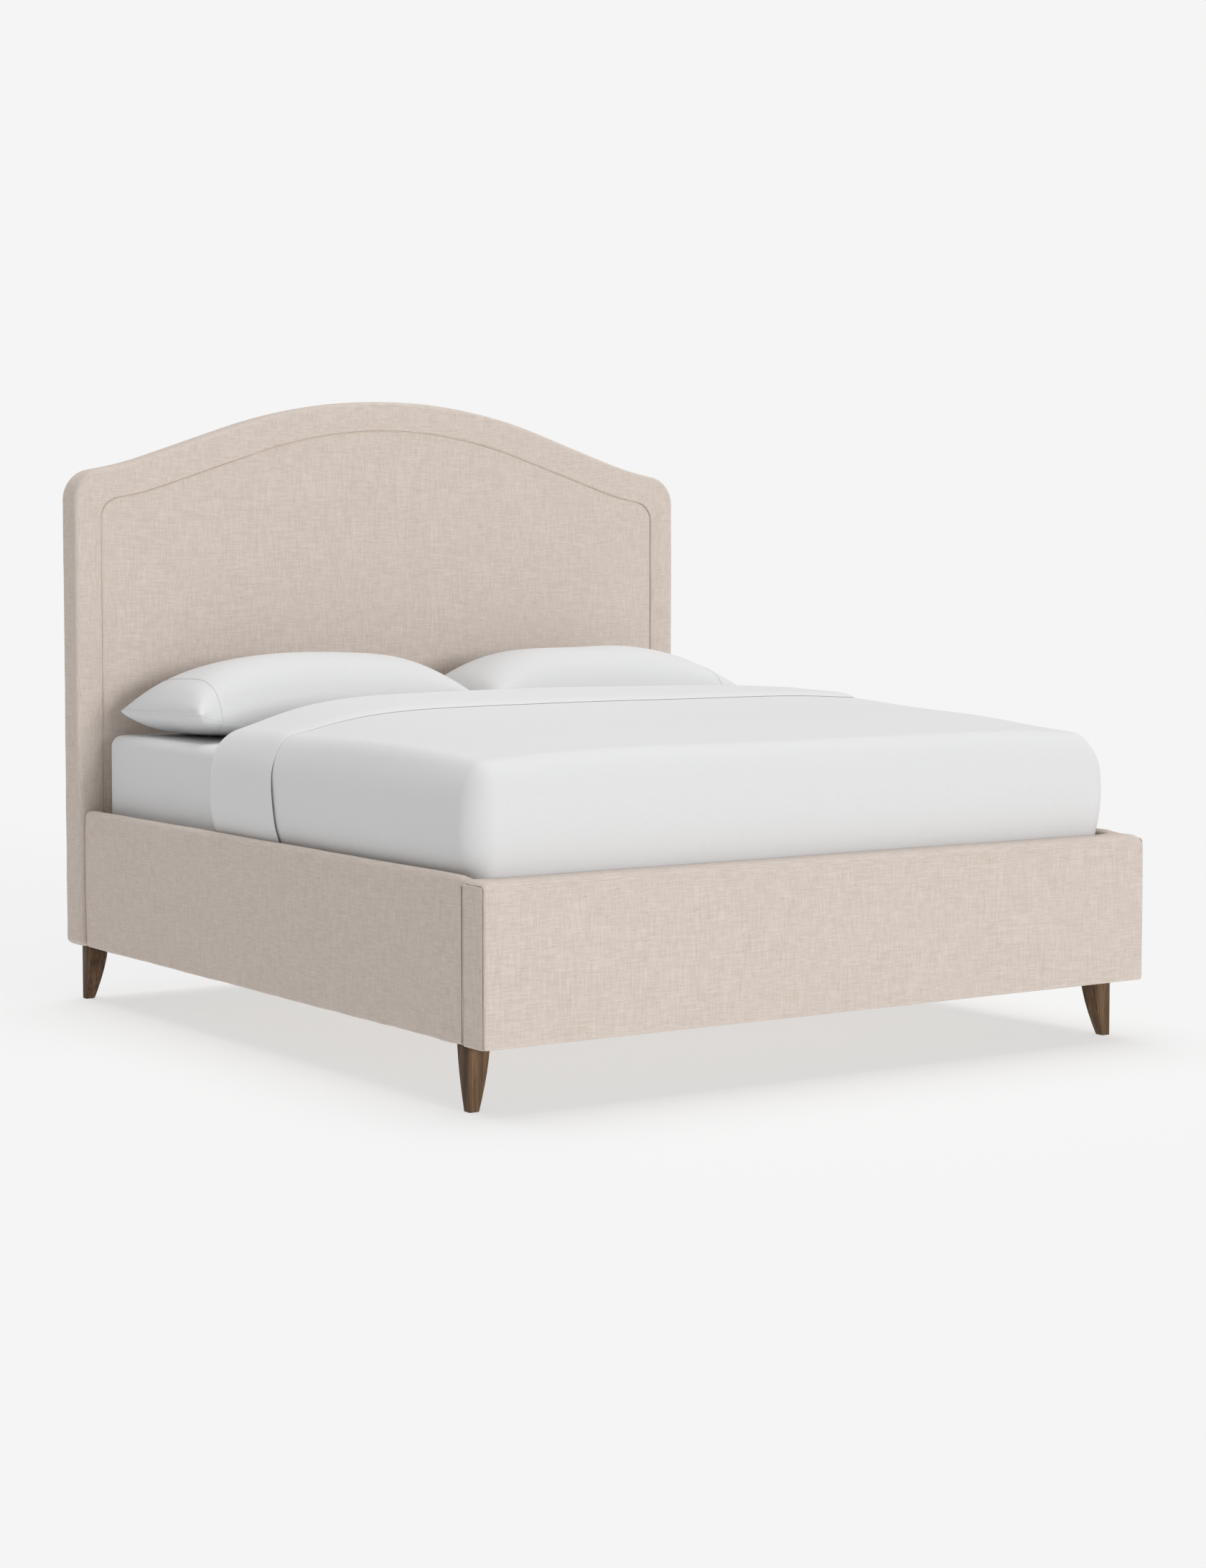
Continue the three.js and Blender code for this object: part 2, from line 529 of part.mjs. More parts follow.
function duvetAndTurnDown() {
  const d = DUVET;
  const m = MATTRESS;
  const clear = SHEET + 1;
  const mattressSpace = toSolid(softBox(m.half + clear, m.foot - clear, m.head + 80, d.low - 60, m.high + clear, 57, 34, 3));
  const outer = toSolid(slopeTop(softBox(d.half, d.foot, d.head, d.low, d.high, 62, 60, 5, 6)));
  addMesh("duvet", fromSolid(outer.subtract(mattressSpace)), cotton);

  const over = GAP + 0.2;
  const cloth = 2;
  const out = over + cloth;
  const shell = toSolid(slopeTop(softBox(d.half + out, d.foot, d.head + out, d.low + 3, d.high + out, 64, 62, 3, 6)));
  const core = toSolid(slopeTop(softBox(d.half + over, d.foot, d.head + over, d.low - 60, d.high + over, 62.5, 60.5, 3, 6)));
  const footPart = toSolid(boxGeometry(-1200, 1200, -1300, FOLD_FOOT, 300, 1000));
  addMesh("flat_sheet", fromSolid(shell.subtract(core).subtract(footPart).subtract(mattressSpace)), cotton);
}

// Lens-shaped pillow: two domed sheets of points that meet in a pointed edge seam.
function pillow(side, name) {
  const p = PILLOW;
  const nu = 22;
  const nv = 12;
  const position = [];
  const place = new Map();
  const dome = (s) => Math.pow(Math.max(1 - Math.abs(s) ** 2.6, 0), 0.62);
  const vertex = (i, j, top) => {
    const rim = i === 0 || j === 0 || i === nu || j === nv;
    const key = `${i},${j},${rim ? "rim" : top}`;
    if (!place.has(key)) {
      const u = -Math.cos((Math.PI * i) / nu);
      const v = -Math.cos((Math.PI * j) / nv);
      const swell = rim ? 0 : dome(u) * dome(v);
      const x = side * p.x + p.halfX * u * (1 - 0.03 * (1 - v * v));
      const y = p.y + p.halfY * v * (1 - 0.05 * (1 - u * u));
      const z = p.midZ + (top ? p.up : -p.down) * swell;
      place.set(key, position.length / 3);
      position.push(x, y, z);
    }
    return place.get(key);
  };
  const index = [];
  for (let i = 0; i < nu; i++) {
    for (let j = 0; j < nv; j++) {
      [true, false].forEach((top) => {
        const [a, b, c, d] = [[i, j], [i + 1, j], [i + 1, j + 1], [i, j + 1]].map((q) => vertex(...q, top));
        const corner = (i === 0 && j === nv - 1) || (i === nu - 1 && j === 0);
        const tris = corner ? [[a, b, c], [a, c, d]] : [[a, b, d], [b, c, d]];
        tris.forEach(([q, r, s]) => index.push(q, top ? r : s, top ? s : r));
      });
    }
  }
  const geometry = new THREE.BufferGeometry();
  geometry.setAttribute("position", new THREE.BufferAttribute(new Float32Array(position), 3));
  geometry.setIndex(index);
  addMesh(`pillow_${name}`, geometry, cotton);
}

headboardUpholstery();
headboardFrame();
sideRail(-1, "left");
sideRail(1, "right");
footboard();
cornerBlocks();
headBrackets();
taperedLeg(-1, -1, "front_left");
taperedLeg(1, -1, "front_right");
taperedLeg(-1, 1, "rear_left");
taperedLeg(1, 1, "rear_right");
slats();
centreSupport();
mattressAndSheets();
duvetAndTurnDown();
pillow(-1, "left");
pillow(1, "right");

export default bed;
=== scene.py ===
"""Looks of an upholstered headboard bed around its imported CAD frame. Metres, +Z up, foot end at -Y."""

import math

import bmesh
import bpy
import numpy as np
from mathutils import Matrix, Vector
from mathutils.bvhtree import BVHTree


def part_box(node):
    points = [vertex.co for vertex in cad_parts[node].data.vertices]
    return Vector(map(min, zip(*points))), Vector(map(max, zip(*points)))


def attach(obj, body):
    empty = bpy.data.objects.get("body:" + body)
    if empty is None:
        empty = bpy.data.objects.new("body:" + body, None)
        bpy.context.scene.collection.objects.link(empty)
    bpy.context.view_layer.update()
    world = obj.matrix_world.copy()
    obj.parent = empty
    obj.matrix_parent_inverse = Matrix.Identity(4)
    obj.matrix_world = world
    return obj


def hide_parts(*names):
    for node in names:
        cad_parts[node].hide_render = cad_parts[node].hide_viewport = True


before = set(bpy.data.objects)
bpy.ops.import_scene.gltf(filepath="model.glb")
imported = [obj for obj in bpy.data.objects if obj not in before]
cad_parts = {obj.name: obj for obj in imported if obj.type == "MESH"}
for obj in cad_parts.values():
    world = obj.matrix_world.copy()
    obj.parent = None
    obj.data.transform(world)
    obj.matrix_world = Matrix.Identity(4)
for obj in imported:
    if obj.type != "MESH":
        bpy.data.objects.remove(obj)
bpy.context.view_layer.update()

QUARTER = math.pi / 2
SIDES = ((-1, "left"), (1, "right"))
ALL_SIDES = ("x-", "x+", "y-", "y+", "z-", "z+")


# ---- camera, light and floor ----
def add_camera():
    """The photo's viewpoint."""
    tilt_deg, turn_deg = 3.524, -34.086
    data = bpy.data.cameras.new("camera")
    data.lens = 69.64
    data.sensor_width = 36
    data.shift_x = -0.0084
    data.shift_y = -0.0343
    data.clip_end = 400
    camera = bpy.data.objects.new("camera", data)
    camera.location = (-4.5761, -6.9227, 1.3036)
    camera.rotation_euler = (math.radians(90 - tilt_deg), 0, math.radians(turn_deg))
    bpy.context.collection.objects.link(camera)
    bpy.context.scene.camera = camera


def add_sun(name, towards, strength, softness_deg):
    """A wide soft studio light, even over the whole floor."""
    data = bpy.data.lights.new(name, "SUN")
    data.energy = strength
    data.angle = math.radians(softness_deg)
    sun = bpy.data.objects.new(name, data)
    sun.rotation_mode = "QUATERNION"
    sun.rotation_quaternion = Vector(towards).to_track_quat("-Z", "Y")
    bpy.context.collection.objects.link(sun)


def add_studio():
    """A pale seamless backdrop, two soft lights and a matt floor that fades into the backdrop."""
    backdrop, sky = 0.913, 0.375
    floor_shade, floor_glow, floor_half = 0.315, 0.602, 150
    world = bpy.data.worlds.new("studio")
    bpy.context.scene.world = world
    world.use_nodes = True
    tree = world.node_tree
    tree.nodes.clear()
    output = tree.nodes.new("ShaderNodeOutputWorld")
    mix = tree.nodes.new("ShaderNodeMixShader")
    path = tree.nodes.new("ShaderNodeLightPath")
    tree.links.new(path.outputs["Is Camera Ray"], mix.inputs[0])
    for socket, level in ((1, sky), (2, backdrop)):
        light = tree.nodes.new("ShaderNodeBackground")
        light.inputs["Color"].default_value = (level, level, level, 1)
        tree.links.new(light.outputs[0], mix.inputs[socket])
    tree.links.new(mix.outputs[0], output.inputs["Surface"])

    add_sun("overhead_light", (-0.08, -0.24, -0.96), 1.80, 50)
    add_sun("front_light", (-0.10, 0.985, -0.13), 1.26, 14)

    corners = [(floor_half * x, floor_half * y, 0) for x, y in ((-1, -1), (1, -1), (1, 1), (-1, 1))]
    mesh = bpy.data.meshes.new("floor")
    mesh.from_pydata(corners, [], [(0, 1, 2, 3)])
    material = bpy.data.materials.new("pale_floor")
    material.use_nodes = True
    material.cycles.emission_sampling = "NONE"
    shader = material.node_tree.nodes["Principled BSDF"]
    for socket, value in (("Base Color", (floor_shade, floor_shade, floor_shade, 1)), ("Roughness", 1),
                          ("Specular IOR Level", 0), ("Emission Color", (1, 1, 1, 1)),
                          ("Emission Strength", floor_glow)):
        shader.inputs[socket].default_value = value
    mesh.materials.append(material)
    floor = bpy.data.objects.new("floor", mesh)
    bpy.context.collection.objects.link(floor)

    bpy.context.scene.view_settings.view_transform = "Standard"
    bpy.context.scene.view_settings.look = "None"


# ---- materials ----
def stretched(axis, across, along):
    """Cycles per metre along x, y and z, with one axis that differs."""
    cycles = [across] * 3
    cycles[axis] = along
    return cycles


class Look:
    """A procedural material on one Principled shader; textures are laid out in metres."""

    def __init__(self, name, roughness, sheen=0.0, specular=0.3):
        self.material = bpy.data.materials.new(name)
        self.material.use_nodes = True
        self.tree = self.material.node_tree
        self.shader = self.tree.nodes["Principled BSDF"]
        for socket, value in (("Roughness", roughness), ("Sheen Weight", sheen), ("Sheen Roughness", 0.4),
                              ("Specular IOR Level", specular)):
            self.shader.inputs[socket].default_value = value
        self.place = self.node("TexCoord").outputs["Object"]

    def node(self, kind, **settings):
        """A new shader node with the given settings."""
        made = self.tree.nodes.new("ShaderNode" + kind)
        for key, value in settings.items():
            setattr(made, key, value)
        return made

    def feed(self, socket, value):
        """Links a node's output to a socket, or sets the socket to a plain value."""
        if isinstance(value, bpy.types.NodeSocket):
            self.tree.links.new(value, socket)
        else:
            socket.default_value = value

    def maths(self, operation, *values):
        """The output of one maths node."""
        made = self.node("Math", operation=operation)
        for socket, value in zip(made.inputs, values):
            self.feed(socket, value)
        return made.outputs[0]

    def weighted(self, *pairs):
        """The sum of values times their weights."""
        total = 0.0
        for value, weight in pairs:
            total = self.maths("ADD", total, self.maths("MULTIPLY", value, weight))
        return total

    def split(self, vector):
        """The x, y and z outputs of a vector."""
        made = self.node("SeparateXYZ")
        self.feed(made.inputs[0], vector)
        return made.outputs

    def wave(self, axis, pitch):
        """A sine wave along one axis, about -1 to 1."""
        return self.maths("SINE", self.maths("MULTIPLY", self.split(self.place)[axis], 2 * math.pi / pitch))

    def noise(self, cycles, detail=2.0):
        """Noise with its own number of cycles per metre along x, y and z."""
        mapping = self.node("Mapping")
        self.feed(mapping.inputs["Vector"], self.place)
        mapping.inputs["Scale"].default_value = cycles
        made = self.node("TexNoise")
        made.inputs["Scale"].default_value = 1
        made.inputs["Detail"].default_value = detail
        self.feed(made.inputs["Vector"], mapping.outputs[0])
        return made.outputs["Fac"]

    def spread(self, value, low, high):
        """The value's range low to high, stretched to 0 to 1."""
        made = self.node("MapRange", interpolation_type="SMOOTHSTEP")
        self.feed(made.inputs["Value"], value)
        made.inputs["From Min"].default_value = low
        made.inputs["From Max"].default_value = high
        return made.outputs["Result"]

    def mix(self, share, first, second):
        """A colour between two others."""
        made = self.node("Mix", data_type="RGBA")
        self.feed(made.inputs["Factor"], share)
        for name, value in (("A", first), ("B", second)):
            socket = [s for s in made.inputs if s.name == name and s.type == "RGBA"][0]
            self.feed(socket, value if isinstance(value, bpy.types.NodeSocket) else (*value, 1))
        return [s for s in made.outputs if s.type == "RGBA"][0]

    def facing(self):
        """How far the surface faces along x, y and z, each 0 to 1."""
        normal = self.node("NewGeometry").outputs["Normal"]
        return [self.maths("ABSOLUTE", part) for part in self.split(normal)]

    def threads(self, along, across, detail=2.0):
        """Long fine strokes along the two directions that lie in the surface."""
        weights = [self.maths("SUBTRACT", 1.0, faced) for faced in self.facing()]
        strokes = [self.noise(stretched(axis, across, along), detail) for axis in range(3)]
        total = self.weighted(*zip(strokes, weights))
        return self.maths("DIVIDE", total, self.weighted(*((weight, 1.0) for weight in weights)))

    def weave(self, pitch):
        """Over-and-under bumps of a plain weave, with threads that wander a little."""
        wander = self.node("VectorMath", operation="MULTIPLY_ADD")
        drift = self.node("TexNoise")
        drift.inputs["Scale"].default_value = 60
        self.feed(drift.inputs["Vector"], self.place)
        self.feed(wander.inputs[0], drift.outputs["Color"])
        wander.inputs[1].default_value = (pitch, pitch, pitch)
        self.feed(wander.inputs[2], self.place)
        waves = [self.maths("SINE", self.maths("MULTIPLY", part, math.pi / pitch))
                 for part in self.split(wander.outputs[0])]
        crossed = [self.maths("MULTIPLY", waves[(axis + 1) % 3], waves[(axis + 2) % 3]) for axis in range(3)]
        return self.weighted(*zip(crossed, self.facing()))

    def bump(self, height, depth, strength, under=None):
        """A normal raised by a height in metres, laid over another normal where one is given."""
        made = self.node("Bump")
        made.inputs["Distance"].default_value = depth
        made.inputs["Strength"].default_value = strength
        self.feed(made.inputs["Height"], height)
        if under is not None:
            self.feed(made.inputs["Normal"], under)
        return made.outputs[0]

    def finish(self, colour, normal):
        """The material, once its colour and normal are linked."""
        self.feed(self.shader.inputs["Base Color"], colour)
        self.feed(self.shader.inputs["Normal"], normal)
        return self.material


def linen_look(name, light, dark, fleck):
    """Slubby oatmeal linen: uneven threads both ways, brown flecks and a very slight mottle."""
    look = Look(name, roughness=0.93, sheen=0.08, specular=0.15)
    fine = look.threads(along=30, across=460, detail=1)
    slub = look.threads(along=20, across=300, detail=1)
    tone = look.weighted((fine, 0.55), (slub, 0.45))
    cloth = look.mix(look.spread(tone, 0.34, 0.66), dark, light)
    flecks = look.spread(look.threads(along=60, across=400, detail=1), 0.60, 0.72)
    cloth = look.mix(look.maths("MULTIPLY", flecks, 0.40), cloth, fleck)
    mottle = look.spread(look.noise((4, 4, 4), 2), 0.3, 0.7)
    cloth = look.mix(look.maths("MULTIPLY", mottle, 0.02), cloth, dark)
    normal = look.bump(look.weave(pitch=0.0013), 0.0003, 0.7)
    normal = look.bump(tone, 0.0016, 0.7, normal)
    return look.finish(cloth, normal)


def cotton_look(name, white, pitch, wrinkle):
    """Washed white percale: a fine weave and soft, shallow creases."""
    look = Look(name, roughness=0.85, sheen=0.08, specular=0.2)
    tone = look.threads(along=60, across=420, detail=2)
    cloth = look.mix(look.spread(tone, 0.3, 0.7), [c * 0.975 for c in white], white)
    normal = look.bump(look.weave(pitch), 0.0001, 0.5)
    normal = look.bump(tone, 0.0003, 0.5, normal)
    creases = look.noise((5, 11, 9), 3)
    return look.finish(cloth, look.bump(creases, wrinkle, 0.6, normal))


def wood_look(name, light, dark, grain_axis, roughness, rings=46):
    """Straight-grained timber with pores; the grain runs along one axis."""
    look = Look(name, roughness=roughness, specular=0.22)
    figure = look.noise(stretched(grain_axis, rings, 3.0), 4)
    streaks = look.noise(stretched(grain_axis, rings * 6, 9.0), 2)
    tone = look.weighted((figure, 0.6), (streaks, 0.4))
    wood = look.mix(look.spread(tone, 0.34, 0.66), dark, light)
    pores = look.spread(look.noise(stretched(grain_axis, 1100, 45), 1), 0.62, 0.72)
    wood = look.mix(look.maths("MULTIPLY", pores, 0.45), wood, [c * 0.45 for c in dark])
    return look.finish(wood, look.bump(look.weighted((tone, 1.0), (pores, -0.6)), 0.0005, 0.6))


def plywood_look(name, face, core, thick_axis):
    """Birch-like plywood: grained faces, and glued layers on the edges."""
    look = Look(name, roughness=0.7)
    grain = look.noise(stretched(0 if thick_axis == 1 else 1, 260, 8), 3)
    veneer = look.mix(look.spread(grain, 0.35, 0.65), [c * 0.8 for c in face], face)
    layers = look.mix(look.spread(look.wave(thick_axis, pitch=0.0034), -0.3, 0.3), core, face)
    edge = look.maths("SUBTRACT", 1.0, look.facing()[thick_axis])
    wood = look.mix(look.spread(edge, 0.4, 0.7), veneer, layers)
    return look.finish(wood, look.bump(grain, 0.0004, 0.5))


def speckled_look(name, dark, light, roughness, specular, cycles, detail, depth, strength):
    """Black coated steel or moulded nylon with a fine orange-peel skin."""
    look = Look(name, roughness=roughness, specular=specular)
    speckle = look.noise((cycles, cycles, cycles), detail)
    return look.finish(look.mix(speckle, dark, light), look.bump(speckle, depth, strength))


def dust_cloth_look():
    """Black non-woven cloth with a fine embossed dot pattern."""
    look = Look("dust_cloth_finish", roughness=0.95, sheen=0.2, specular=0.15)
    fibres = look.threads(along=120, across=700, detail=3)
    colour = look.mix(look.spread(fibres, 0.3, 0.7), (0.016, 0.016, 0.017), (0.042, 0.041, 0.041))
    normal = look.bump(look.weave(pitch=0.0024), 0.0004, 0.8)
    return look.finish(colour, look.bump(fibres, 0.0006, 0.6, normal))


def ticking_look():
    """Quilted mattress cover with faint stripes."""
    look = Look("mattress_ticking_finish", roughness=0.88, sheen=0.1, specular=0.2)
    stripe = look.spread(look.wave(0, pitch=0.018), 0.72, 0.9)
    cloth = look.mix(stripe, (0.74, 0.73, 0.70), (0.50, 0.52, 0.54))
    normal = look.bump(look.weave(pitch=0.0016), 0.0004, 0.6)
    quilt = look.weave(pitch=0.07)
    return look.finish(cloth, look.bump(look.maths("ABSOLUTE", quilt), 0.004, 0.6, normal))


LINEN = linen_look("oatmeal_linen", (0.744, 0.662, 0.603), (0.626, 0.539, 0.473), (0.34, 0.245, 0.175))
# Welt linen, lighter than the cover: partly the bias cord's own tone, partly painted light that offsets the
# shade in the groove by the welt.
WELT_LINEN_AND_PAINTED_LIGHT = linen_look("welt_linen_bias_and_painted_light", (0.78, 0.67, 0.57), (0.70, 0.58, 0.48), (0.45, 0.34, 0.25))
COTTON = cotton_look("white_percale", (0.780, 0.782, 0.785), 0.0007, 0.003)
COTTON_CASE = cotton_look("white_percale_pillowcase", (0.765, 0.768, 0.772), 0.0007, 0.003)
COTTON_FIRM = cotton_look("white_percale_stretched", (0.765, 0.768, 0.772), 0.0007, 0.0015)
THREAD = cotton_look("white_sewing_thread", (0.62, 0.62, 0.63), 0.0005, 0.0002)
# Dark seam thread: partly sewing thread, partly painted shade of the seam grooves; on the rail-end cords it
# is painted shade only.
SEAM_THREAD_AND_SHADE = linen_look("linen_thread_and_painted_seam_shade", (0.34, 0.26, 0.20), (0.24, 0.18, 0.14), (0.15, 0.11, 0.08))
WALNUT = wood_look("dark_walnut_stain", (0.185, 0.108, 0.056), (0.050, 0.028, 0.015), 2, 0.55, rings=60)
PINE = {axis: wood_look(f"pine_timber_{'xyz'[axis]}", (0.64, 0.47, 0.27), (0.47, 0.30, 0.15), axis, 0.62)
        for axis in range(3)}
PLY = {axis: plywood_look(f"plywood_{'xyz'[axis]}", (0.60, 0.44, 0.27), (0.30, 0.19, 0.10), axis)
       for axis in (0, 1)}
STEEL = speckled_look("coated_steel_finish", (0.022, 0.022, 0.024), (0.045, 0.045, 0.048),
                      roughness=0.42, specular=0.5, cycles=900, detail=2, depth=0.0004, strength=0.4)
NYLON = speckled_look("black_nylon_finish", (0.012, 0.012, 0.013), (0.028, 0.028, 0.030),
                      roughness=0.5, specular=0.45, cycles=420, detail=3, depth=0.0003, strength=0.3)
DUST_CLOTH = dust_cloth_look()
TICKING = ticking_look()


# ---- mesh helpers ----
def xyz(x, y, z):
    """Rows of x, y and z, each given as an array or as one value."""
    return np.column_stack(np.broadcast_arrays(x, y, z))


def add_piece(name, shape, material, body=None, smooth=True):
    """A mesh piece from (points, faces) that rides on a CAD body, with its faces turned outwards."""
    points, faces = shape
    mesh = bpy.data.meshes.new(name)
    mesh.from_pydata([tuple(p) for p in np.asarray(points, float)], [], [tuple(map(int, f)) for f in faces])
    build = bmesh.new()
    build.from_mesh(mesh)
    bmesh.ops.recalc_face_normals(build, faces=build.faces)
    build.to_mesh(mesh)
    build.free()
    mesh.polygons.foreach_set("use_smooth", [smooth] * len(mesh.polygons))
    mesh.materials.append(material)
    obj = bpy.data.objects.new(name, mesh)
    bpy.context.collection.objects.link(obj)
    if body:
        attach(obj, body)
    return obj


def ring_faces(count, size, closed=False):
    """Quads that join a row of rings of equal size."""
    faces = []
    for k in range(count if closed else count - 1):
        a, b = k * size, ((k + 1) % count) * size
        faces += [(a + i, a + (i + 1) % size, b + (i + 1) % size, b + i) for i in range(size)]
    return faces


def swept(rings):
    """Points and faces of a closed body through a row of rings, with flat ends."""
    rings = np.asarray(rings, float)
    count, size = rings.shape[:2]
    last = (count - 1) * size
    faces = ring_faces(count, size)
    faces += [tuple(range(size)), tuple(last + i for i in reversed(range(size)))]
    return rings.reshape(-1, 3), faces


def arc(cx, cy, r, start, end, steps):
    """Points along a circular arc between two angles."""
    angles = np.linspace(start, end, steps + 1)
    return np.stack([cx + r * np.cos(angles), cy + r * np.sin(angles)], 1)


def tube(path, radius, sides, closed=True):
    """Points and faces of a round cord along a path."""
    path = np.asarray(path, float)
    ahead, behind = np.roll(path, -1, 0), np.roll(path, 1, 0)
    if not closed:
        ahead[-1], behind[0] = path[-1], path[0]
    along = ahead - behind
    along /= np.linalg.norm(along, axis=1)[:, None]
    first = np.cross(along, (0.0, 0.0, 1.0))
    weak = np.linalg.norm(first, axis=1) < 0.2
    first[weak] = np.cross(along[weak], (0.0, 1.0, 0.0))
    first /= np.linalg.norm(first, axis=1)[:, None]
    for k in range(1, len(path)):
        turned = first[k - 1] - along[k] * (first[k - 1] @ along[k])
        first[k] = turned / np.linalg.norm(turned)
    second = np.cross(along, first)
    angles = np.arange(sides) * 2 * math.pi / sides
    spokes = first[:, None] * np.cos(angles)[None, :, None] + second[:, None] * np.sin(angles)[None, :, None]
    rings = path[:, None] + radius * spokes
    if closed:
        return rings.reshape(-1, 3), ring_faces(len(path), sides, closed=True)
    return swept(rings)


def ripple(points, seed, waves=7, finest=9.0):
    """A smooth random field over points, about -1 to 1, the same each run."""
    random = np.random.default_rng(seed)
    total = np.zeros(len(points))
    for _ in range(waves):
        direction = random.normal(size=3)
        cycles = random.uniform(0.25, 1.0) * finest
        total += np.sin(2 * math.pi * cycles * (points @ direction) / np.linalg.norm(direction)
                        + random.uniform(0, 2 * math.pi))
    return total / math.sqrt(waves / 2) / 1.6


def soft_waves(points, *waves):
    """The sum of smooth random fields, each given as (depth, seed, finest cycles per metre)."""
    return sum(depth * ripple(points, seed, finest=finest) for depth, seed, finest in waves)


def smooth_step(value, low, high):
    """0 below low, 1 above high and a smooth rise between them."""
    share = np.clip((value - low) / (high - low), 0, 1)
    return share * share * (3 - 2 * share)


def axis_steps(low, high, low_edge, high_edge, cell, rim=7):
    """Coordinates along an axis that crowd together over the rounded edges."""
    turns = np.tan(np.linspace(math.pi / 4, 0, rim))
    inner = np.linspace(low + low_edge, high - high_edge,
                        max(2, round((high - low - low_edge - high_edge) / cell) + 1))
    steps = np.concatenate([low + low_edge * (1 - turns), inner, high - high_edge * (1 - turns)])
    return np.unique(np.round(steps, 6))


def box_skin(steps, sides):
    """Grid points and quads over the named sides of a box, such as 'x-' or 'z+'."""
    index, points, faces = {}, [], []

    def at(key):
        """The index of a grid point, shared by the sides that meet there."""
        if key not in index:
            index[key] = len(points)
            points.append([steps[a][key[a]] for a in range(3)])
        return index[key]

    for side in sides:
        axis = "xyz".index(side[0])
        fixed = len(steps[axis]) - 1 if side[1] == "+" else 0
        u, v = [a for a in range(3) if a != axis]
        for i in range(len(steps[u]) - 1):
            for j in range(len(steps[v]) - 1):
                corners = []
                for di, dj in ((0, 0), (1, 0), (1, 1), (0, 1)):
                    key = [0, 0, 0]
                    key[axis], key[u], key[v] = fixed, i + di, j + dj
                    corners.append(at(tuple(key)))
                turned = (side[1] == "+") == (axis != 1)
                faces.append(tuple(corners if turned else corners[::-1]))
    return np.array(points), faces


def rounded(points, low, high, radius):
    """Points of a box's skin, drawn in over its edges and corners; the radius may differ by point."""
    low, high, radius = (np.asarray(v, float) for v in (low, high, radius))
    core = np.clip(points, low + radius, high - radius)
    out = (points - core) / radius
    return core + radius * out / np.maximum(np.linalg.norm(out, axis=1), 1e-9)[:, None]


def grid_faces(rows, cols, base=0):
    """Quads over a grid of points, row by row."""
    starts = [base + r * cols + c for r in range(rows - 1) for c in range(cols - 1)]
    return [(a, a + 1, a + cols + 1, a + cols) for a in starts]


def border_edges(faces):
    """Directed edges that only one face uses."""
    edges = [pair for face in faces for pair in zip(face, face[1:] + face[:1])]
    used = set(edges)
    return [(a, b) for a, b in edges if (b, a) not in used]


def shell(outer, inner, faces, out_of, steps, bulge):
    """A closed body between two skins of the same grid, with a rounded rim between them."""
    count = len(outer)
    points = [outer, inner]
    made = list(faces) + [tuple(i + count for i in reversed(face)) for face in faces]
    edges = border_edges(faces)
    rim = sorted({a for edge in edges for a in edge})
    row = {a: k for k, a in enumerate(rim)}
    gap = inner[rim] - outer[rim]
    reach = out_of(outer[rim]) * np.linalg.norm(gap, axis=1)[:, None] * bulge
    for k in range(1, steps):
        share = k / steps
        points.append(outer[rim] + gap * share + reach * math.sin(math.pi * share))

    def level(k, a):
        """The index of rim point a on level k between the two skins."""
        if k == 0:
            return a
        return a + count if k == steps else 2 * count + (k - 1) * len(rim) + row[a]

    for a, b in edges:
        for k in range(steps):
            made.append((level(k, b), level(k, a), level(k + 1, a), level(k + 1, b)))
    return np.concatenate(points), made


def subdivide(obj):
    """One level of smooth subdivision."""
    modifier = obj.modifiers.new("smooth", "SUBSURF")
    modifier.levels = 1
    modifier.render_levels = 1


def thickness(obj, amount, offset=-1):
    """Gives a single skin the thickness of cloth."""
    modifier = obj.modifiers.new("cloth_thickness", "SOLIDIFY")
    modifier.thickness = amount
    modifier.offset = offset


# ---- headboard ----
LOW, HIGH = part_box("headboard_border_pad")
HEAD_FRONT = LOW.y
HEAD_BACK = HIGH.y
HEAD_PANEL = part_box("headboard_inner_pad")[0].y
HEAD_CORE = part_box("headboard_core_board")[0].y
WRAP = HIGH.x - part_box("headboard_core_board")[1].x
BASE = LOW.z
OUTLINE = dict(half=HIGH.x, crest=HIGH.z, crest_r=1.6674, flank_x=0.527, hollow_x=0.782,
               hollow_r=1.123, shoulder_r=0.090, low=BASE)
SEAM_LINE = dict(half=0.949, crest=1.6408, crest_r=1.4444, flank_x=0.448, hollow_x=0.765,
                 hollow_r=0.8449, shoulder_r=0.060, low=BASE)


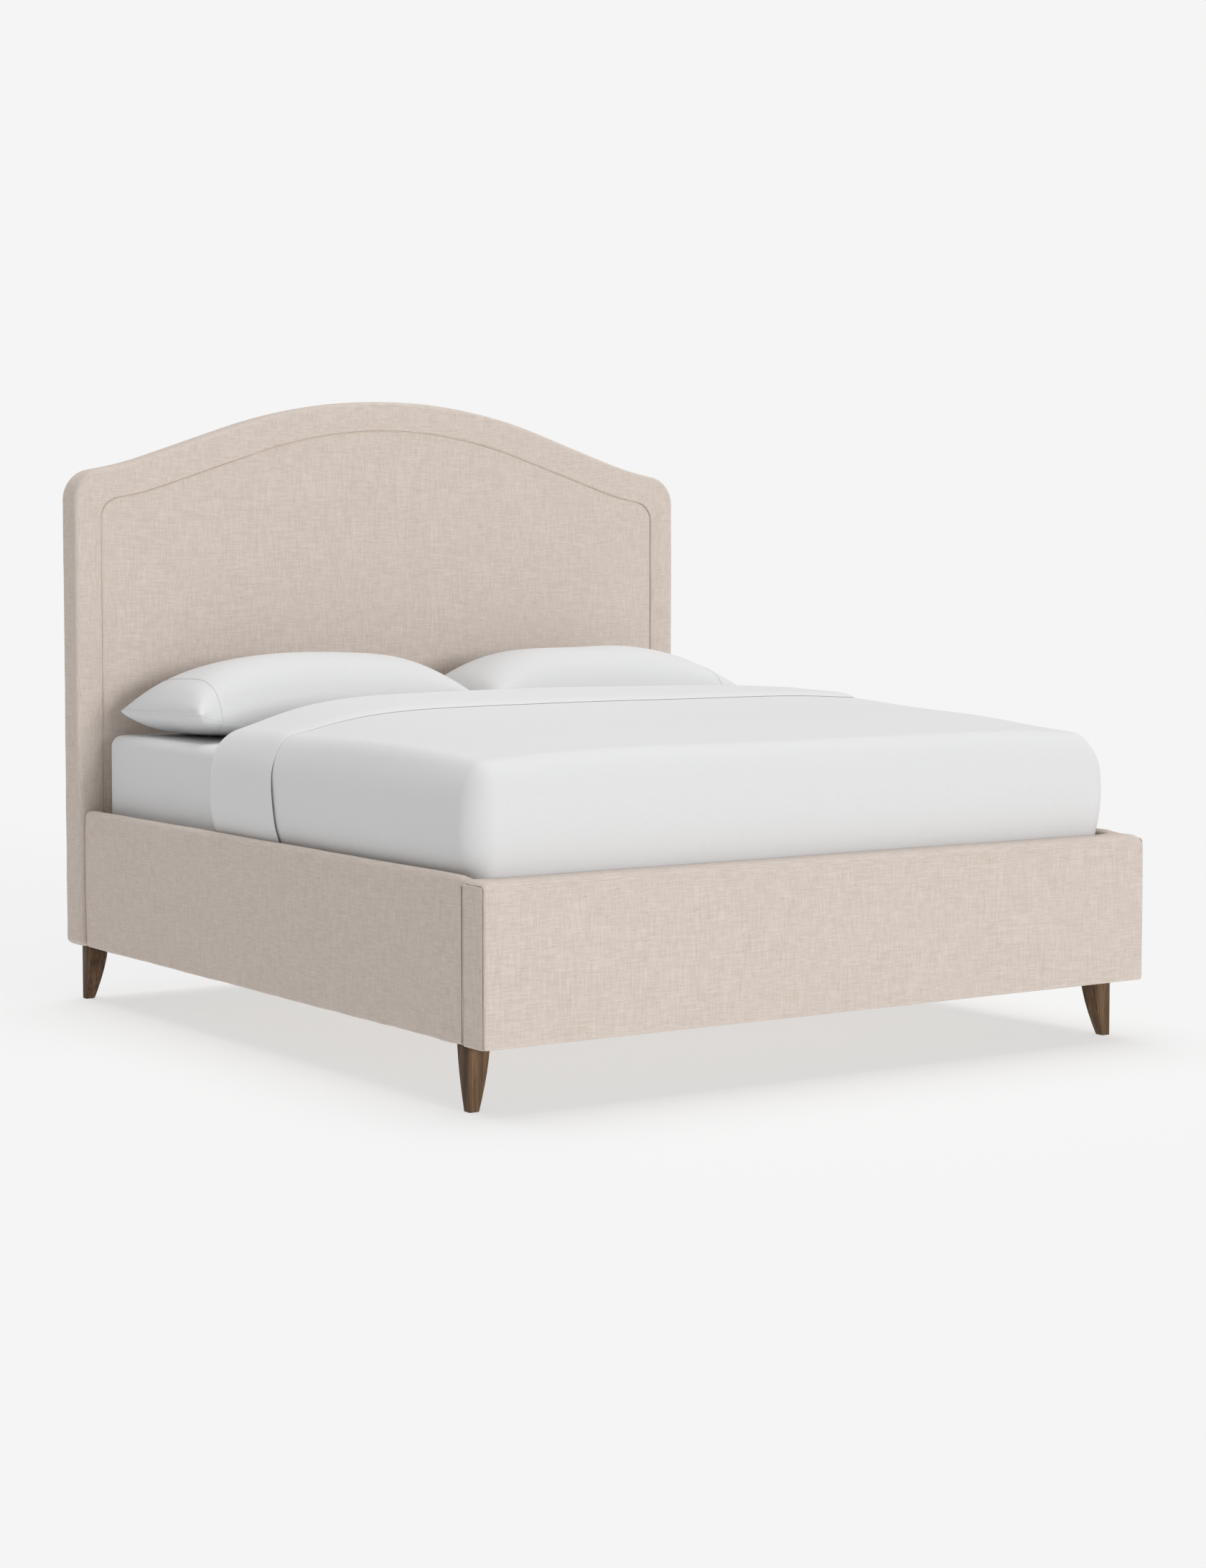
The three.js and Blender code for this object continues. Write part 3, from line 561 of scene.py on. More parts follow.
def camelback(half, crest, crest_r, flank_x, hollow_x, hollow_r, shoulder_r, low, foot_r=0.0):
    """(x, z) points of the arched outline, from the left foot over the crest to the right foot."""
    tilt = math.asin(flank_x / crest_r)
    flank_top = crest - crest_r + crest_r * math.cos(tilt)
    flank_low = flank_top - math.tan(tilt) * (hollow_x - flank_x)
    hollow = (hollow_x + hollow_r * math.sin(tilt), flank_low + hollow_r * math.cos(tilt))
    shoulder_x = half - shoulder_r
    shoulder_z = hollow[1] - math.sqrt((hollow_r + shoulder_r) ** 2 - (hollow[0] - shoulder_x) ** 2)
    meet = math.atan2(hollow[1] - shoulder_z, hollow[0] - shoulder_x)
    foot_rows = low + 0.02 * np.linspace(0, 1, 8) ** 1.6
    rise = np.concatenate([foot_rows, np.linspace(low + 0.05, shoulder_z, 44)[:-1]])
    upright = np.stack([np.full(len(rise), half), rise], 1)
    lift = np.clip(foot_r - (rise - low), 0, foot_r)
    upright[:, 0] -= foot_r - np.sqrt(np.maximum(foot_r ** 2 - lift ** 2, 0))
    flank = np.linspace((hollow_x, flank_low), (flank_x, flank_top), 12)[1:-1]
    right = np.concatenate([
        upright,
        arc(shoulder_x, shoulder_z, shoulder_r, 0, meet, 18),
        arc(*hollow, hollow_r, meet - math.pi, -QUARTER - tilt, 14)[1:],
        flank,
        arc(0, crest - crest_r, crest_r, QUARTER - tilt, QUARTER, 40),
    ])
    left = right[-2::-1] * (-1, 1)
    return np.concatenate([right, left])


def seam_and_outline():
    """The welt's seam line and the headboard's outer edge, point for point."""
    return camelback(**SEAM_LINE), camelback(**OUTLINE, foot_r=0.020)


def headboard_border():
    """The padded band around the headboard, crowned in front and wrapped round to the back."""
    seam, outline = seam_and_outline()
    roll, back_roll, foot_roll = 0.017, 0.006, 0.009
    rings = []
    for inner, outer in zip(seam, outline):
        across = outer - inner
        width = np.linalg.norm(across)
        across = across / width
        front = [(0.0, HEAD_PANEL + 0.002), (0.0004, HEAD_PANEL - 0.0008), (0.004, HEAD_PANEL - 0.0018),
                 (0.013, HEAD_PANEL - 0.0036), (0.025, HEAD_PANEL - 0.0058), (0.038, HEAD_FRONT + 0.0015),
                 (0.050, HEAD_FRONT + 0.0004), (width - roll - 0.004, HEAD_FRONT + 0.0001)]
        turn = arc(width - roll, HEAD_FRONT + roll, roll, -QUARTER, 0, 10)
        side = [(width + 0.0012, HEAD_FRONT + 0.045), (width + 0.0016, HEAD_FRONT + 0.060),
                (width + 0.0010, HEAD_BACK - 0.018)]
        edge = arc(width - back_roll, HEAD_BACK - back_roll, back_roll, 0, QUARTER, 4)
        wrap = [(width - WRAP + 0.001, HEAD_BACK), (width - WRAP + 0.0002, HEAD_BACK - 0.0008),
                (width - WRAP + 0.0002, HEAD_CORE - 0.0002), (0.0, HEAD_CORE - 0.0002)]
        section = np.concatenate([front, turn, side, edge, wrap])
        spot = inner + across * section[:, :1]
        rings.append(xyz(spot[:, 0], section[:, 1], spot[:, 1]))
    rings = np.array(rings)
    size = rings.shape[1]
    flat = rings.reshape(-1, 3)
    soft = soft_waves(flat, (0.0009, 11, 7), (0.0004, 12, 24))
    place = np.arange(size)
    skin = np.tile((place > 1) & (place < size - len(wrap)), len(rings))
    flat[:, 1] -= soft * skin
    lift = np.clip(foot_roll - (flat[:, 2] - BASE), 0, foot_roll)
    rounding = foot_roll - np.sqrt(foot_roll ** 2 - lift ** 2)
    flat[:, 1] += rounding * (flat[:, 1] < HEAD_FRONT + 0.02)
    pad = add_piece("headboard_border", swept(flat.reshape(rings.shape)), LINEN, "bed_frame")
    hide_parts("headboard_border_pad")


def headboard_panel():
    """The inner panel, a foam-backed face that rolls in under the welt."""
    seam, _ = seam_and_outline()
    clear, foot_gap = 0.0026, 0.0005
    half = SEAM_LINE["half"] - clear
    across = half * np.sin(np.linspace(-QUARTER, QUARTER, 121))
    crest_side = seam[seam[:, 1] > 1.30]
    order = np.argsort(crest_side[:, 0])
    reach = across * (SEAM_LINE["half"] - 1e-4) / half
    top = np.interp(reach, crest_side[order, 0], crest_side[order, 1]) - clear
    up = np.sin(np.linspace(0, QUARTER, 90))
    start_z = BASE + foot_gap
    grid = np.stack(np.broadcast_arrays(across, start_z + up[:, None] * (top - start_z)), 2)
    flat = grid.reshape(-1, 2)
    to_seam = np.full(len(flat), 1.0)
    for start in range(0, len(seam), 20):
        part = seam[start:start + 20]
        to_seam = np.minimum(to_seam, np.linalg.norm(flat[:, None] - part[None], axis=2).min(1))
    to_seam = np.minimum(to_seam, half + clear - np.abs(flat[:, 0]))
    inside = np.clip(to_seam - clear, 0, 1)
    roll, rolled_in, crown, wave = 0.005, 0.0009, 0.0012, 0.0010
    depth = HEAD_PANEL + rolled_in * np.clip(1 - inside / roll, 0, 1) ** 2.2
    field = xyz(flat[:, 0], 0.0, flat[:, 1])
    depth -= crown * smooth_step(inside, 0.0, 0.12)
    depth += wave * ripple(field, 21, finest=4) * smooth_step(inside, 0.0, 0.10)
    front = xyz(flat[:, 0], depth, flat[:, 1])
    back = xyz(flat[:, 0], HEAD_CORE - 0.0004, flat[:, 1])
    slab = shell(front, back, grid_faces(*grid.shape[:2]), lambda rim: 0 * rim, steps=3, bulge=0)
    pad = add_piece("headboard_panel", slab, LINEN, "bed_frame")
    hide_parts("headboard_inner_pad")


def headboard_piping():
    """Bias-cut welt cord in the seam between the border and the panel."""
    seam, outline = seam_and_outline()
    across = outline - seam
    across /= np.linalg.norm(across, axis=1)[:, None]
    radius = 0.0013
    inward = seam - across * radius
    path = xyz(inward[:, 0], HEAD_PANEL - 0.0012, inward[:, 1])
    path[0, 2] = path[-1, 2] = BASE + 0.0003
    cord = tube(path, radius, sides=10, closed=False)
    # The welt's lighter linen is partly painted light against the groove's shade.
    welt = add_piece("headboard_piping", cord, WELT_LINEN_AND_PAINTED_LIGHT, "bed_frame")
    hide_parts("headboard_welt")


def back_staples():
    """Staples that hold the dust cloth to the back of the headboard."""
    outline = camelback(**OUTLINE)
    inset, pitch, crown, wire = 0.021, 0.045, 0.010, 0.0010
    steps = np.diff(outline, axis=0)
    run = np.concatenate([[0], np.cumsum(np.linalg.norm(steps, axis=1))])
    points, faces = [], []
    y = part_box("headboard_back_cloth")[1].y
    for at in np.arange(pitch, run[-1] - pitch / 2, pitch):
        k = min(np.searchsorted(run, at) - 1, len(steps) - 1)
        along = steps[k] / np.linalg.norm(steps[k])
        inward = np.array([-along[1], along[0]])
        middle = outline[k] + along * (at - run[k]) + inward * inset
        base = len(points)
        for dy in (-0.0002, 0.0009):
            for sa, sb in ((-1, -1), (1, -1), (1, 1), (-1, 1)):
                spot = middle + along * sa * crown / 2 + inward * sb * wire / 2
                points.append((spot[0], y + dy, spot[1]))
        faces += [tuple(base + i for i in f) for f in
                  ((0, 1, 2, 3), (7, 6, 5, 4), (0, 4, 5, 1), (1, 5, 6, 2), (2, 6, 7, 3), (3, 7, 4, 0))]
    add_piece("headboard_back_staples", (points, faces), STEEL, "bed_frame", smooth=False)


# ---- side rails ----
def rail_section(low, high):
    """(x, z) ring of an upholstered rail on the right: padded face, bullnose top and lining inside."""
    outer, top, inner = high.x, high.z, low.x
    hem_r, outer_r, inner_r = 0.006, 0.015, 0.012
    board_low, board_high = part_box("side_rail_right_board")
    board_in, board_out, board_top = board_low.x - 0.0001, board_high.x + 0.0002, board_high.z + 0.0003
    flap_low = top - 0.074
    face = [(outer + 0.0004, low.z + 0.03), (outer + 0.0010, low.z + 0.10), (outer + 0.0013, low.z + 0.18),
            (outer + 0.0012, low.z + 0.26), (outer + 0.0006, low.z + 0.33)]
    return np.concatenate([
        arc(outer - hem_r, low.z + hem_r, hem_r, -QUARTER, 0, 4),
        face,
        arc(outer - outer_r, top - outer_r, outer_r, 0, QUARTER, 7),
        arc(inner + inner_r, top - inner_r, inner_r, QUARTER, math.pi, 6),
        [(inner, flap_low + 0.03), (inner, flap_low), (board_in, flap_low), (board_in, board_top),
         (board_out, board_top), (board_out, low.z)],
    ])


def side_rails():
    """Padded covers of both side rails, drawn in at the foot and rounded at the head."""
    low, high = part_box("side_rail_right_pad")
    section = rail_section(low, high)
    skin = np.arange(len(section)) < len(section) - 4
    end_r, foot_r = 0.024, 0.005
    top_roll, end_fall, end_pull = 0.015, 0.0135, 0.006
    foot_pull, foot_fall, foot_reach = 0.0014, 0.0045, 0.05
    head = high.y - end_r + end_r * np.sin(np.linspace(0, QUARTER, 9))
    foot = low.y + foot_r * (1 - np.cos(np.linspace(0, QUARTER, 5)))
    stations = np.concatenate([foot, np.arange(low.y + 0.012, high.y - end_r - 0.01, 0.022), head])
    for side, name in SIDES:
        rings = []
        for y in stations:
            into = np.clip((y - (high.y - end_r)) / end_r, 0, 1)
            drop = 1 - math.sqrt(1 - into ** 2)
            ring = section.copy()
            above = np.clip((ring[:, 1] - (high.z - top_roll)) / top_roll, 0, 1)
            ring[:, 1] -= above * drop * end_fall
            back = np.clip(1 - (y - low.y) / foot_r, 0, 1)
            pull = end_pull * drop + foot_r * (1 - math.sqrt(1 - back ** 2))
            ring[:, 0] -= pull * ((ring[:, 0] > high.x - 0.004) & skin)
            rings.append(xyz(ring[:, 0], y, ring[:, 1]))
        rings = np.array(rings)
        flat = rings.reshape(-1, 3)
        worked = np.tile(skin, len(stations))
        soft = soft_waves(flat, (0.0008, 31 + side, 5), (0.0004, 33 + side, 20)) * worked
        flat[:, 0] += soft * (flat[:, 0] > high.x - 0.008)
        flat[:, 2] += 0.6 * soft * (flat[:, 2] > high.z - 0.01)
        near_foot = 1 - smooth_step(flat[:, 1], low.y, low.y + foot_reach)
        flat[:, 0] -= foot_pull * near_foot * (flat[:, 0] > high.x - 0.004) * worked
        flat[:, 2] -= foot_fall * near_foot ** 2 * smooth_step(flat[:, 2], high.z - 0.012, high.z) * worked
        hem = (flat[:, 2] < low.z + 0.012) & worked
        hem_pull = 0.0006 + 0.0016 * smooth_step(-flat[:, 1], 0.45, 0.95)
        flat[:, 2] += hem_pull * (ripple(flat * (0, 1, 0), 37 + side, finest=16) + 0.6) * hem
        flat[:, 2] = np.maximum(flat[:, 2], low.z)
        flat[:, 0] *= side
        shape = swept(flat.reshape(rings.shape))
        pad = add_piece(f"side_rail_{name}_upholstery", shape, LINEN, "bed_frame")
        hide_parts(f"side_rail_{name}_pad")


# ---- footboard ----
def footboard_wrap():
    """One padded cover over the footboard: front, top roll and a lining down the back."""
    low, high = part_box("footboard_pad")
    strip_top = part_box("footboard_end_strip_right")[1].z
    back_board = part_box("footboard_back_board")
    front_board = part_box("footboard_front_board")
    strip_in = high.x - 0.0103
    board_front = front_board[0].y - 0.0001
    lining = back_board[1].y + 0.0001
    roof = front_board[1].z + 0.0001
    hem_r, roll_r = 0.008, 0.028

    def section(at_end, back_r):
        """(y, z) ring across the footboard, over its end strips or over its boards."""
        ceiling = strip_top + 0.0003 if at_end else roof
        lining_low = ceiling - 0.0002 if at_end else low.z + 0.004
        inner = high.y - 0.0005 if at_end else lining
        face = [(low.y - 0.0004, low.z + 0.30), (low.y - 0.0009, low.z + 0.20),
                (low.y - 0.0004, low.z + 0.08)]
        return np.concatenate([
            arc(low.y + hem_r, low.z + hem_r, hem_r, -math.pi, -QUARTER, 4),
            [(board_front, low.z), (board_front, ceiling), (inner, ceiling), (inner, lining_low),
             (high.y, lining_low)],
            arc(high.y - back_r, high.z - back_r, back_r, 0, QUARTER, 6),
            arc(low.y + roll_r, high.z - roll_r, roll_r, QUARTER, math.pi, 9),
            face,
        ])

    def drawn_in(r, inside):
        """How far a rounded end of radius r lies back at a distance inside it."""
        return r - math.sqrt(r ** 2 - max(r - inside, 0) ** 2)

    top_r, low_r, edge_r = 0.020, 0.009, 0.006
    near = top_r * (1 - np.cos(np.linspace(0, QUARTER, 10)))
    from_end = np.unique(np.round(np.concatenate([
        near, edge_r * (1 - np.cos(np.linspace(0, QUARTER, 6))), [0.0102, 0.0104, 0.026, 0.036]]), 6))
    middle = np.arange(-high.x + 0.05, high.x - 0.049, 0.02)
    stations = np.concatenate([-high.x + from_end, middle, (high.x - from_end)[::-1]])
    rings = []
    for x in stations:
        inside = high.x - abs(x)
        ring = section(abs(x) > strip_in, 0.005 + 0.011 * smooth_step(inside, 0.02, 0.10))
        ceiling = high.z - drawn_in(top_r, inside)
        share = np.clip((ring[:, 1] - (high.z - 0.03)) / 0.03, 0, 1)
        share *= 1 - 0.8 * smooth_step(ring[:, 0], low.y + 0.025, high.y - 0.010)
        is_roof = np.zeros(len(ring), bool)
        is_roof[5:10] = True
        ring[:, 1] = np.where(is_roof, np.minimum(ring[:, 1], ceiling - 0.0008),
                              ring[:, 1] - share * (high.z - ceiling))
        ring[:, 1] = np.maximum(ring[:, 1], low.z + drawn_in(low_r, inside))
        front = ring[:, 0] < board_front - 0.0005
        ring[:, 0] += drawn_in(edge_r, inside) * front * np.clip((board_front - ring[:, 0]) / 0.0115, 0, 1)
        rings.append(xyz(x, ring[:, 0], ring[:, 1]))
    rings = np.array(rings)
    flat = rings.reshape(-1, 3)
    inside = high.x - np.abs(flat[:, 0])
    calm = smooth_step(inside, 0.0, 0.05)
    soft = soft_waves(flat, (0.0009, 41, 4), (0.0004, 42, 18)) * calm
    flat[:, 1] -= soft * (flat[:, 1] < low.y + 0.006)
    flat[:, 2] += 0.5 * soft * (flat[:, 2] > high.z - 0.004)
    pad = add_piece("footboard_upholstery", swept(flat.reshape(rings.shape)), LINEN, "bed_frame")
    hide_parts("footboard_pad")


def footboard_strips():
    """Raised padded strips that finish the footboard's ends, each sewn to the front cover."""
    low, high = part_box("footboard_end_strip_right")
    proud, edge = 0.0042, 0.0050
    front, back = low.y - 0.0050, high.y - 0.0002
    inner = low.x + 0.0003
    y_steps = axis_steps(front, back, edge, edge, 0.006, rim=6)
    z_steps = axis_steps(low.z, high.z, edge, edge, 0.012, rim=6)
    x_steps = axis_steps(inner, high.x + proud, 0.003, edge, 0.003, rim=6)
    for side, name in SIDES:
        points, faces = box_skin([x_steps, y_steps, z_steps], ALL_SIDES)
        points = rounded(points, (inner - edge, front, low.z), (high.x + proud, back, high.z), (edge,) * 3)
        points[:, 0] = np.maximum(points[:, 0], inner)
        face = smooth_step(points[:, 0], high.x - 0.001, high.x + 0.002)
        across = (points[:, 1] - front) / (back - front)
        soft = 0.0004 * ripple(points, 51 + side, finest=14)
        points[:, 0] -= face * (0.0024 * (1 - across) ** 2 + 0.0010 * across ** 4 - soft)
        in_pad = (points[:, 1] < low.y - 0.0002) & (points[:, 0] < high.x - 0.0002)
        points[in_pad, 0] = high.x - 0.0002
        points[:, 0] *= side
        shape = (points, faces)
        strip = add_piece(f"footboard_end_strip_{name}_upholstery", shape, LINEN, "bed_frame")
        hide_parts(f"footboard_end_strip_{name}")


def corner_seams():
    """Dark cord up each corner of the footboard and back along the top of its end strip: sewing thread whose
    dark colour is also painted shade of the corner groove. Also a linen cord along each strip's back edge,
    and a dark cord on the rail beside each strip that is painted shade where the rail meets the strip.
    """
    low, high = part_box("footboard_end_strip_right")
    cord, edge_cord = 0.0007, 0.0011
    x, y = high.x + 0.0001, low.y - 0.0056
    top = high.z + 0.0002
    turn = 0.010
    up = [(x, y, z) for z in np.linspace(low.z + 0.004, top - turn, 60)]
    bend = [(x, y + turn * (1 - math.cos(a)), top - turn + turn * math.sin(a))
            for a in np.linspace(0, QUARTER, 8)[1:]]
    along = [(x, v, top) for v in np.linspace(y + 0.014, high.y - 0.012, 18)]
    edge = [(high.x + 0.0036, high.y - 0.0022, z) for z in np.linspace(low.z + 0.004, high.z - 0.004, 60)]
    join = [(high.x - 0.0006, high.y + 0.0092, z) for z in np.linspace(low.z + 0.004, high.z - 0.006, 60)]
    for side, name in SIDES:
        for start, path, radius, sides, material in (
                # Corner cord: sewing thread, its dark colour also painted shade of the corner groove.
                ("footboard_corner_seam_and_painted_shade", up + bend + along, cord, 7, SEAM_THREAD_AND_SHADE),
                ("footboard_strip_edge_cord", edge, edge_cord, 8, LINEN),
                # Painted shade: a dark cord on the rail beside each strip, standing in for the shade where
                # the rail meets the strip.
                ("rail_end_painted_shade_line", join, edge_cord, 8, SEAM_THREAD_AND_SHADE)):
            shape = tube(np.array(path) * (side, 1, 1), radius, sides, closed=False)
            add_piece(f"{start}_{name}", shape, material, "bed_frame")


# ---- mattress ----
M_LOW, M_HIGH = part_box("mattress")
SHEET_ROOM = 0.0015
HEAD_PULL = 0.007


def softer_foot(points, edge):
    """Edge radii of the mattress, which grow towards its foot end."""
    return edge * (1 + 0.45 * smooth_step(-points[:, 1:2], 0.50, 0.90))


def outermost(points, low, high, depth):
    """Direction out of a box along each axis, for points within a depth of its sides."""
    middle = (low + high) / 2
    return np.sign(points - middle) * (np.abs(points - middle) > (high - low) / 2 - depth)


def mattress():
    """Mattress body with a taped edge round its bottom."""
    edge = np.array([0.034, 0.034, 0.030])
    low = np.array(M_LOW) + SHEET_ROOM
    high = np.array(M_HIGH) - SHEET_ROOM - (0, HEAD_PULL, 0)
    steps = [axis_steps(low[a], high[a], edge[a], edge[a], 0.05, rim=6) for a in range(3)]
    points, faces = box_skin(steps, ALL_SIDES)
    points = rounded(points, low, high, softer_foot(points, edge))
    wall = smooth_step(points[:, 2], low[2] + 0.03, low[2] + 0.09)
    wall *= smooth_step(-points[:, 2], -high[2] + 0.03, -high[2] + 0.09)
    out = outermost(points, low, high, 0.01)
    points[:, :2] -= 0.004 * out[:, :2] * wall[:, None]
    body = add_piece("mattress_body", (points, faces), TICKING, "mattress")
    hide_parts("mattress")
    tape_rise, inset = 0.009, 0.0095
    ring = plan_outline(low[0] + inset, high[0] - inset, low[1] + inset, high[1] - inset, 0.030)
    path = xyz(ring[:, 0], ring[:, 1], low[2] + tape_rise)
    add_piece("mattress_tape_edge", tube(path, 0.0045, sides=10), TICKING, "mattress")


def plan_outline(x0, x1, y0, y1, r, steps=7):
    """(x, y) points round a rectangle with rounded corners."""
    return np.concatenate([
        arc(x0 + r, y0 + r, r, -math.pi, -QUARTER, steps),
        arc(x1 - r, y0 + r, r, -QUARTER, 0, steps),
        arc(x1 - r, y1 - r, r, 0, QUARTER, steps),
        arc(x0 + r, y1 - r, r, QUARTER, math.pi, steps),
    ])


def fitted_sheet():
    """White fitted sheet drawn tight over the mattress, its elastic hem near the bottom."""
    low = np.array(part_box("fitted_sheet")[0])
    high = np.array(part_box("fitted_sheet")[1]) - (0, HEAD_PULL, 0)
    low[2] = M_LOW.z + 0.014
    grown_low = low - (0, 0, 0.08)
    edge = np.array([0.036, 0.036, 0.032])
    steps = [axis_steps(low[0], high[0], edge[0], edge[0], 0.022),
             axis_steps(low[1], high[1], edge[1], edge[1], 0.022),
             axis_steps(low[2], high[2], 0.001, edge[2], 0.014)]
    points, faces = box_skin(steps, ["x-", "x+", "y-", "y+", "z+"])
    points = rounded(points, grown_low, high, softer_foot(points, edge))
    on_side = smooth_step(-points[:, 2], -high[2] + 0.02, -high[2] + 0.08)
    out = outermost(points, low, high, 0.006)
    drape = 0.0007 * ripple(points * (1, 1, 0.25), 61, finest=9)
    drape += 0.0004 * ripple(points * (1, 1, 0.5), 62, finest=26)
    points[:, :2] += out[:, :2] * (drape * on_side)[:, None]
    flat_top = smooth_step(points[:, 2], high[2] - 0.004, high[2])
    points[:, 2] -= flat_top * (0.0005 + 0.0005 * ripple(points, 63, finest=6))
    sheet = add_piece("fitted_sheet_cover", (points, faces), COTTON_FIRM, "mattress")
    thickness(sheet, 0.0012)
    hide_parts("fitted_sheet")


# ---- duvet and turned-down sheet ----
D_LOW, D_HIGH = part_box("duvet")
TOP_FOOT, TOP_HEAD = 0.826, 0.884
SIDE_START = 0.68
CROWN = 0.026
SLUMP = 0.100
DUVET_EDGE = np.array([0.064, 0.074, 0.118])
LINING_GAP = 0.005


def duvet_steps():
    """Grid coordinates over the duvet's box, closer together over its rounded edges."""
    cell = 0.030
    return [axis_steps(D_LOW.x, D_HIGH.x, DUVET_EDGE[0], DUVET_EDGE[0], cell, rim=8),
            axis_steps(D_LOW.y, D_HIGH.y, DUVET_EDGE[1], DUVET_EDGE[1], cell, rim=8),
            axis_steps(D_LOW.z, TOP_FOOT, 0.004, DUVET_EDGE[2], 0.016, rim=8)]


def duvet_surface(points, grow=0.0):
    """Box points drawn onto the duvet's outer surface: crowned, deep at the head, bulging at its sides."""
    low = np.array([D_LOW.x - grow, D_LOW.y - grow, D_LOW.z - 0.3])
    high = np.array([D_HIGH.x + grow, D_HIGH.y + 0.3, TOP_FOOT + grow])
    edge = DUVET_EDGE + grow
    core = np.clip(points, low + edge, high - edge)
    spoke = (points - core) / edge
    spoke /= np.maximum(np.linalg.norm(spoke, axis=1), 1e-9)[:, None]
    out = core + edge * spoke
    share = np.clip((out[:, 2] - SIDE_START) / (TOP_FOOT - SIDE_START), 0, 1.2) ** 1.3
    rise = (TOP_HEAD - TOP_FOOT) * (out[:, 1] - D_LOW.y) / (D_HIGH.y - D_LOW.y)
    reach = np.abs(out[:, 0]) / D_HIGH.x
    to_head = np.clip((out[:, 1] + 0.95) / 1.21, 0, 1) ** 1.6
    crown = (CROWN + SLUMP * smooth_step(-out[:, 0], -0.4, 0.6) * to_head) * 0.76 * np.tanh(1.6 * reach ** 6)
    foot_drop = 0.008 * smooth_step(-out[:, 1], 0.50, 1.05)
    fill = 0.0030 * ripple(out * (1, 1, 0), 71, finest=2.2)
    out[:, 2] += share * (rise - crown - foot_drop + fill)
    height = out[:, 2]
    to_side, to_foot = spoke[:, 0] ** 2, np.minimum(spoke[:, 1], 0) ** 2
    belly = 0.010 * np.sin(np.pi * np.clip((height - 0.52) / 0.26, 0, 1)) * (1 + 1.7 * (out[:, 0] > 0))
    tuck = 0.014 * smooth_step(-height, -0.60, -0.50)
    sway = 0.0010 * ripple(out, 72, finest=5)
    out[:, 0] -= np.sign(out[:, 0]) * (0.0015 - belly + tuck - sway) * to_side
    out[:, 1] += (0.0005 - 0.25 * belly) * to_foot
    return out


def duvet_lining(points):
    """Box points drawn onto the duvet's underside, which lies on the mattress and hangs down its sides."""
    low = np.array([M_LOW.x - LINING_GAP, M_LOW.y - LINING_GAP, D_LOW.z])
    high = np.array([M_HIGH.x + LINING_GAP, D_HIGH.y, M_HIGH.z + LINING_GAP])
    out_low = np.array([D_LOW.x, D_LOW.y, D_LOW.z])
    out_high = np.array([D_HIGH.x, D_HIGH.y, TOP_FOOT])
    scaled = low + (points - out_low) / (out_high - out_low) * (high - low)
    edge = softer_foot(scaled, np.array([0.039, 0.039, 0.035]))
    return rounded(scaled, low - (0, 0, 0.2), high + (0, 0.2, 0), edge)


def duvet():
    """The duvet, a stuffed body between its crowned skin and its lining."""
    skin, faces = box_skin(duvet_steps(), ["x-", "x+", "y-", "z+"])
    outer = duvet_surface(skin)
    inner = duvet_lining(skin)

    def rim_out(points):
        """Direction in which the rim bulges: towards the headboard at the head, down elsewhere."""
        head = points[:, 1] > D_HIGH.y - 0.06
        return np.where(head[:, None], (0.0, 1.0, 0.0), (0.0, 0.0, -1.0))

    body = shell(outer, inner, faces, rim_out, steps=6, bulge=0.30)
    quilt = add_piece("duvet_cover", body, COTTON, "top_bedding")
    subdivide(quilt)
    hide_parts("duvet")


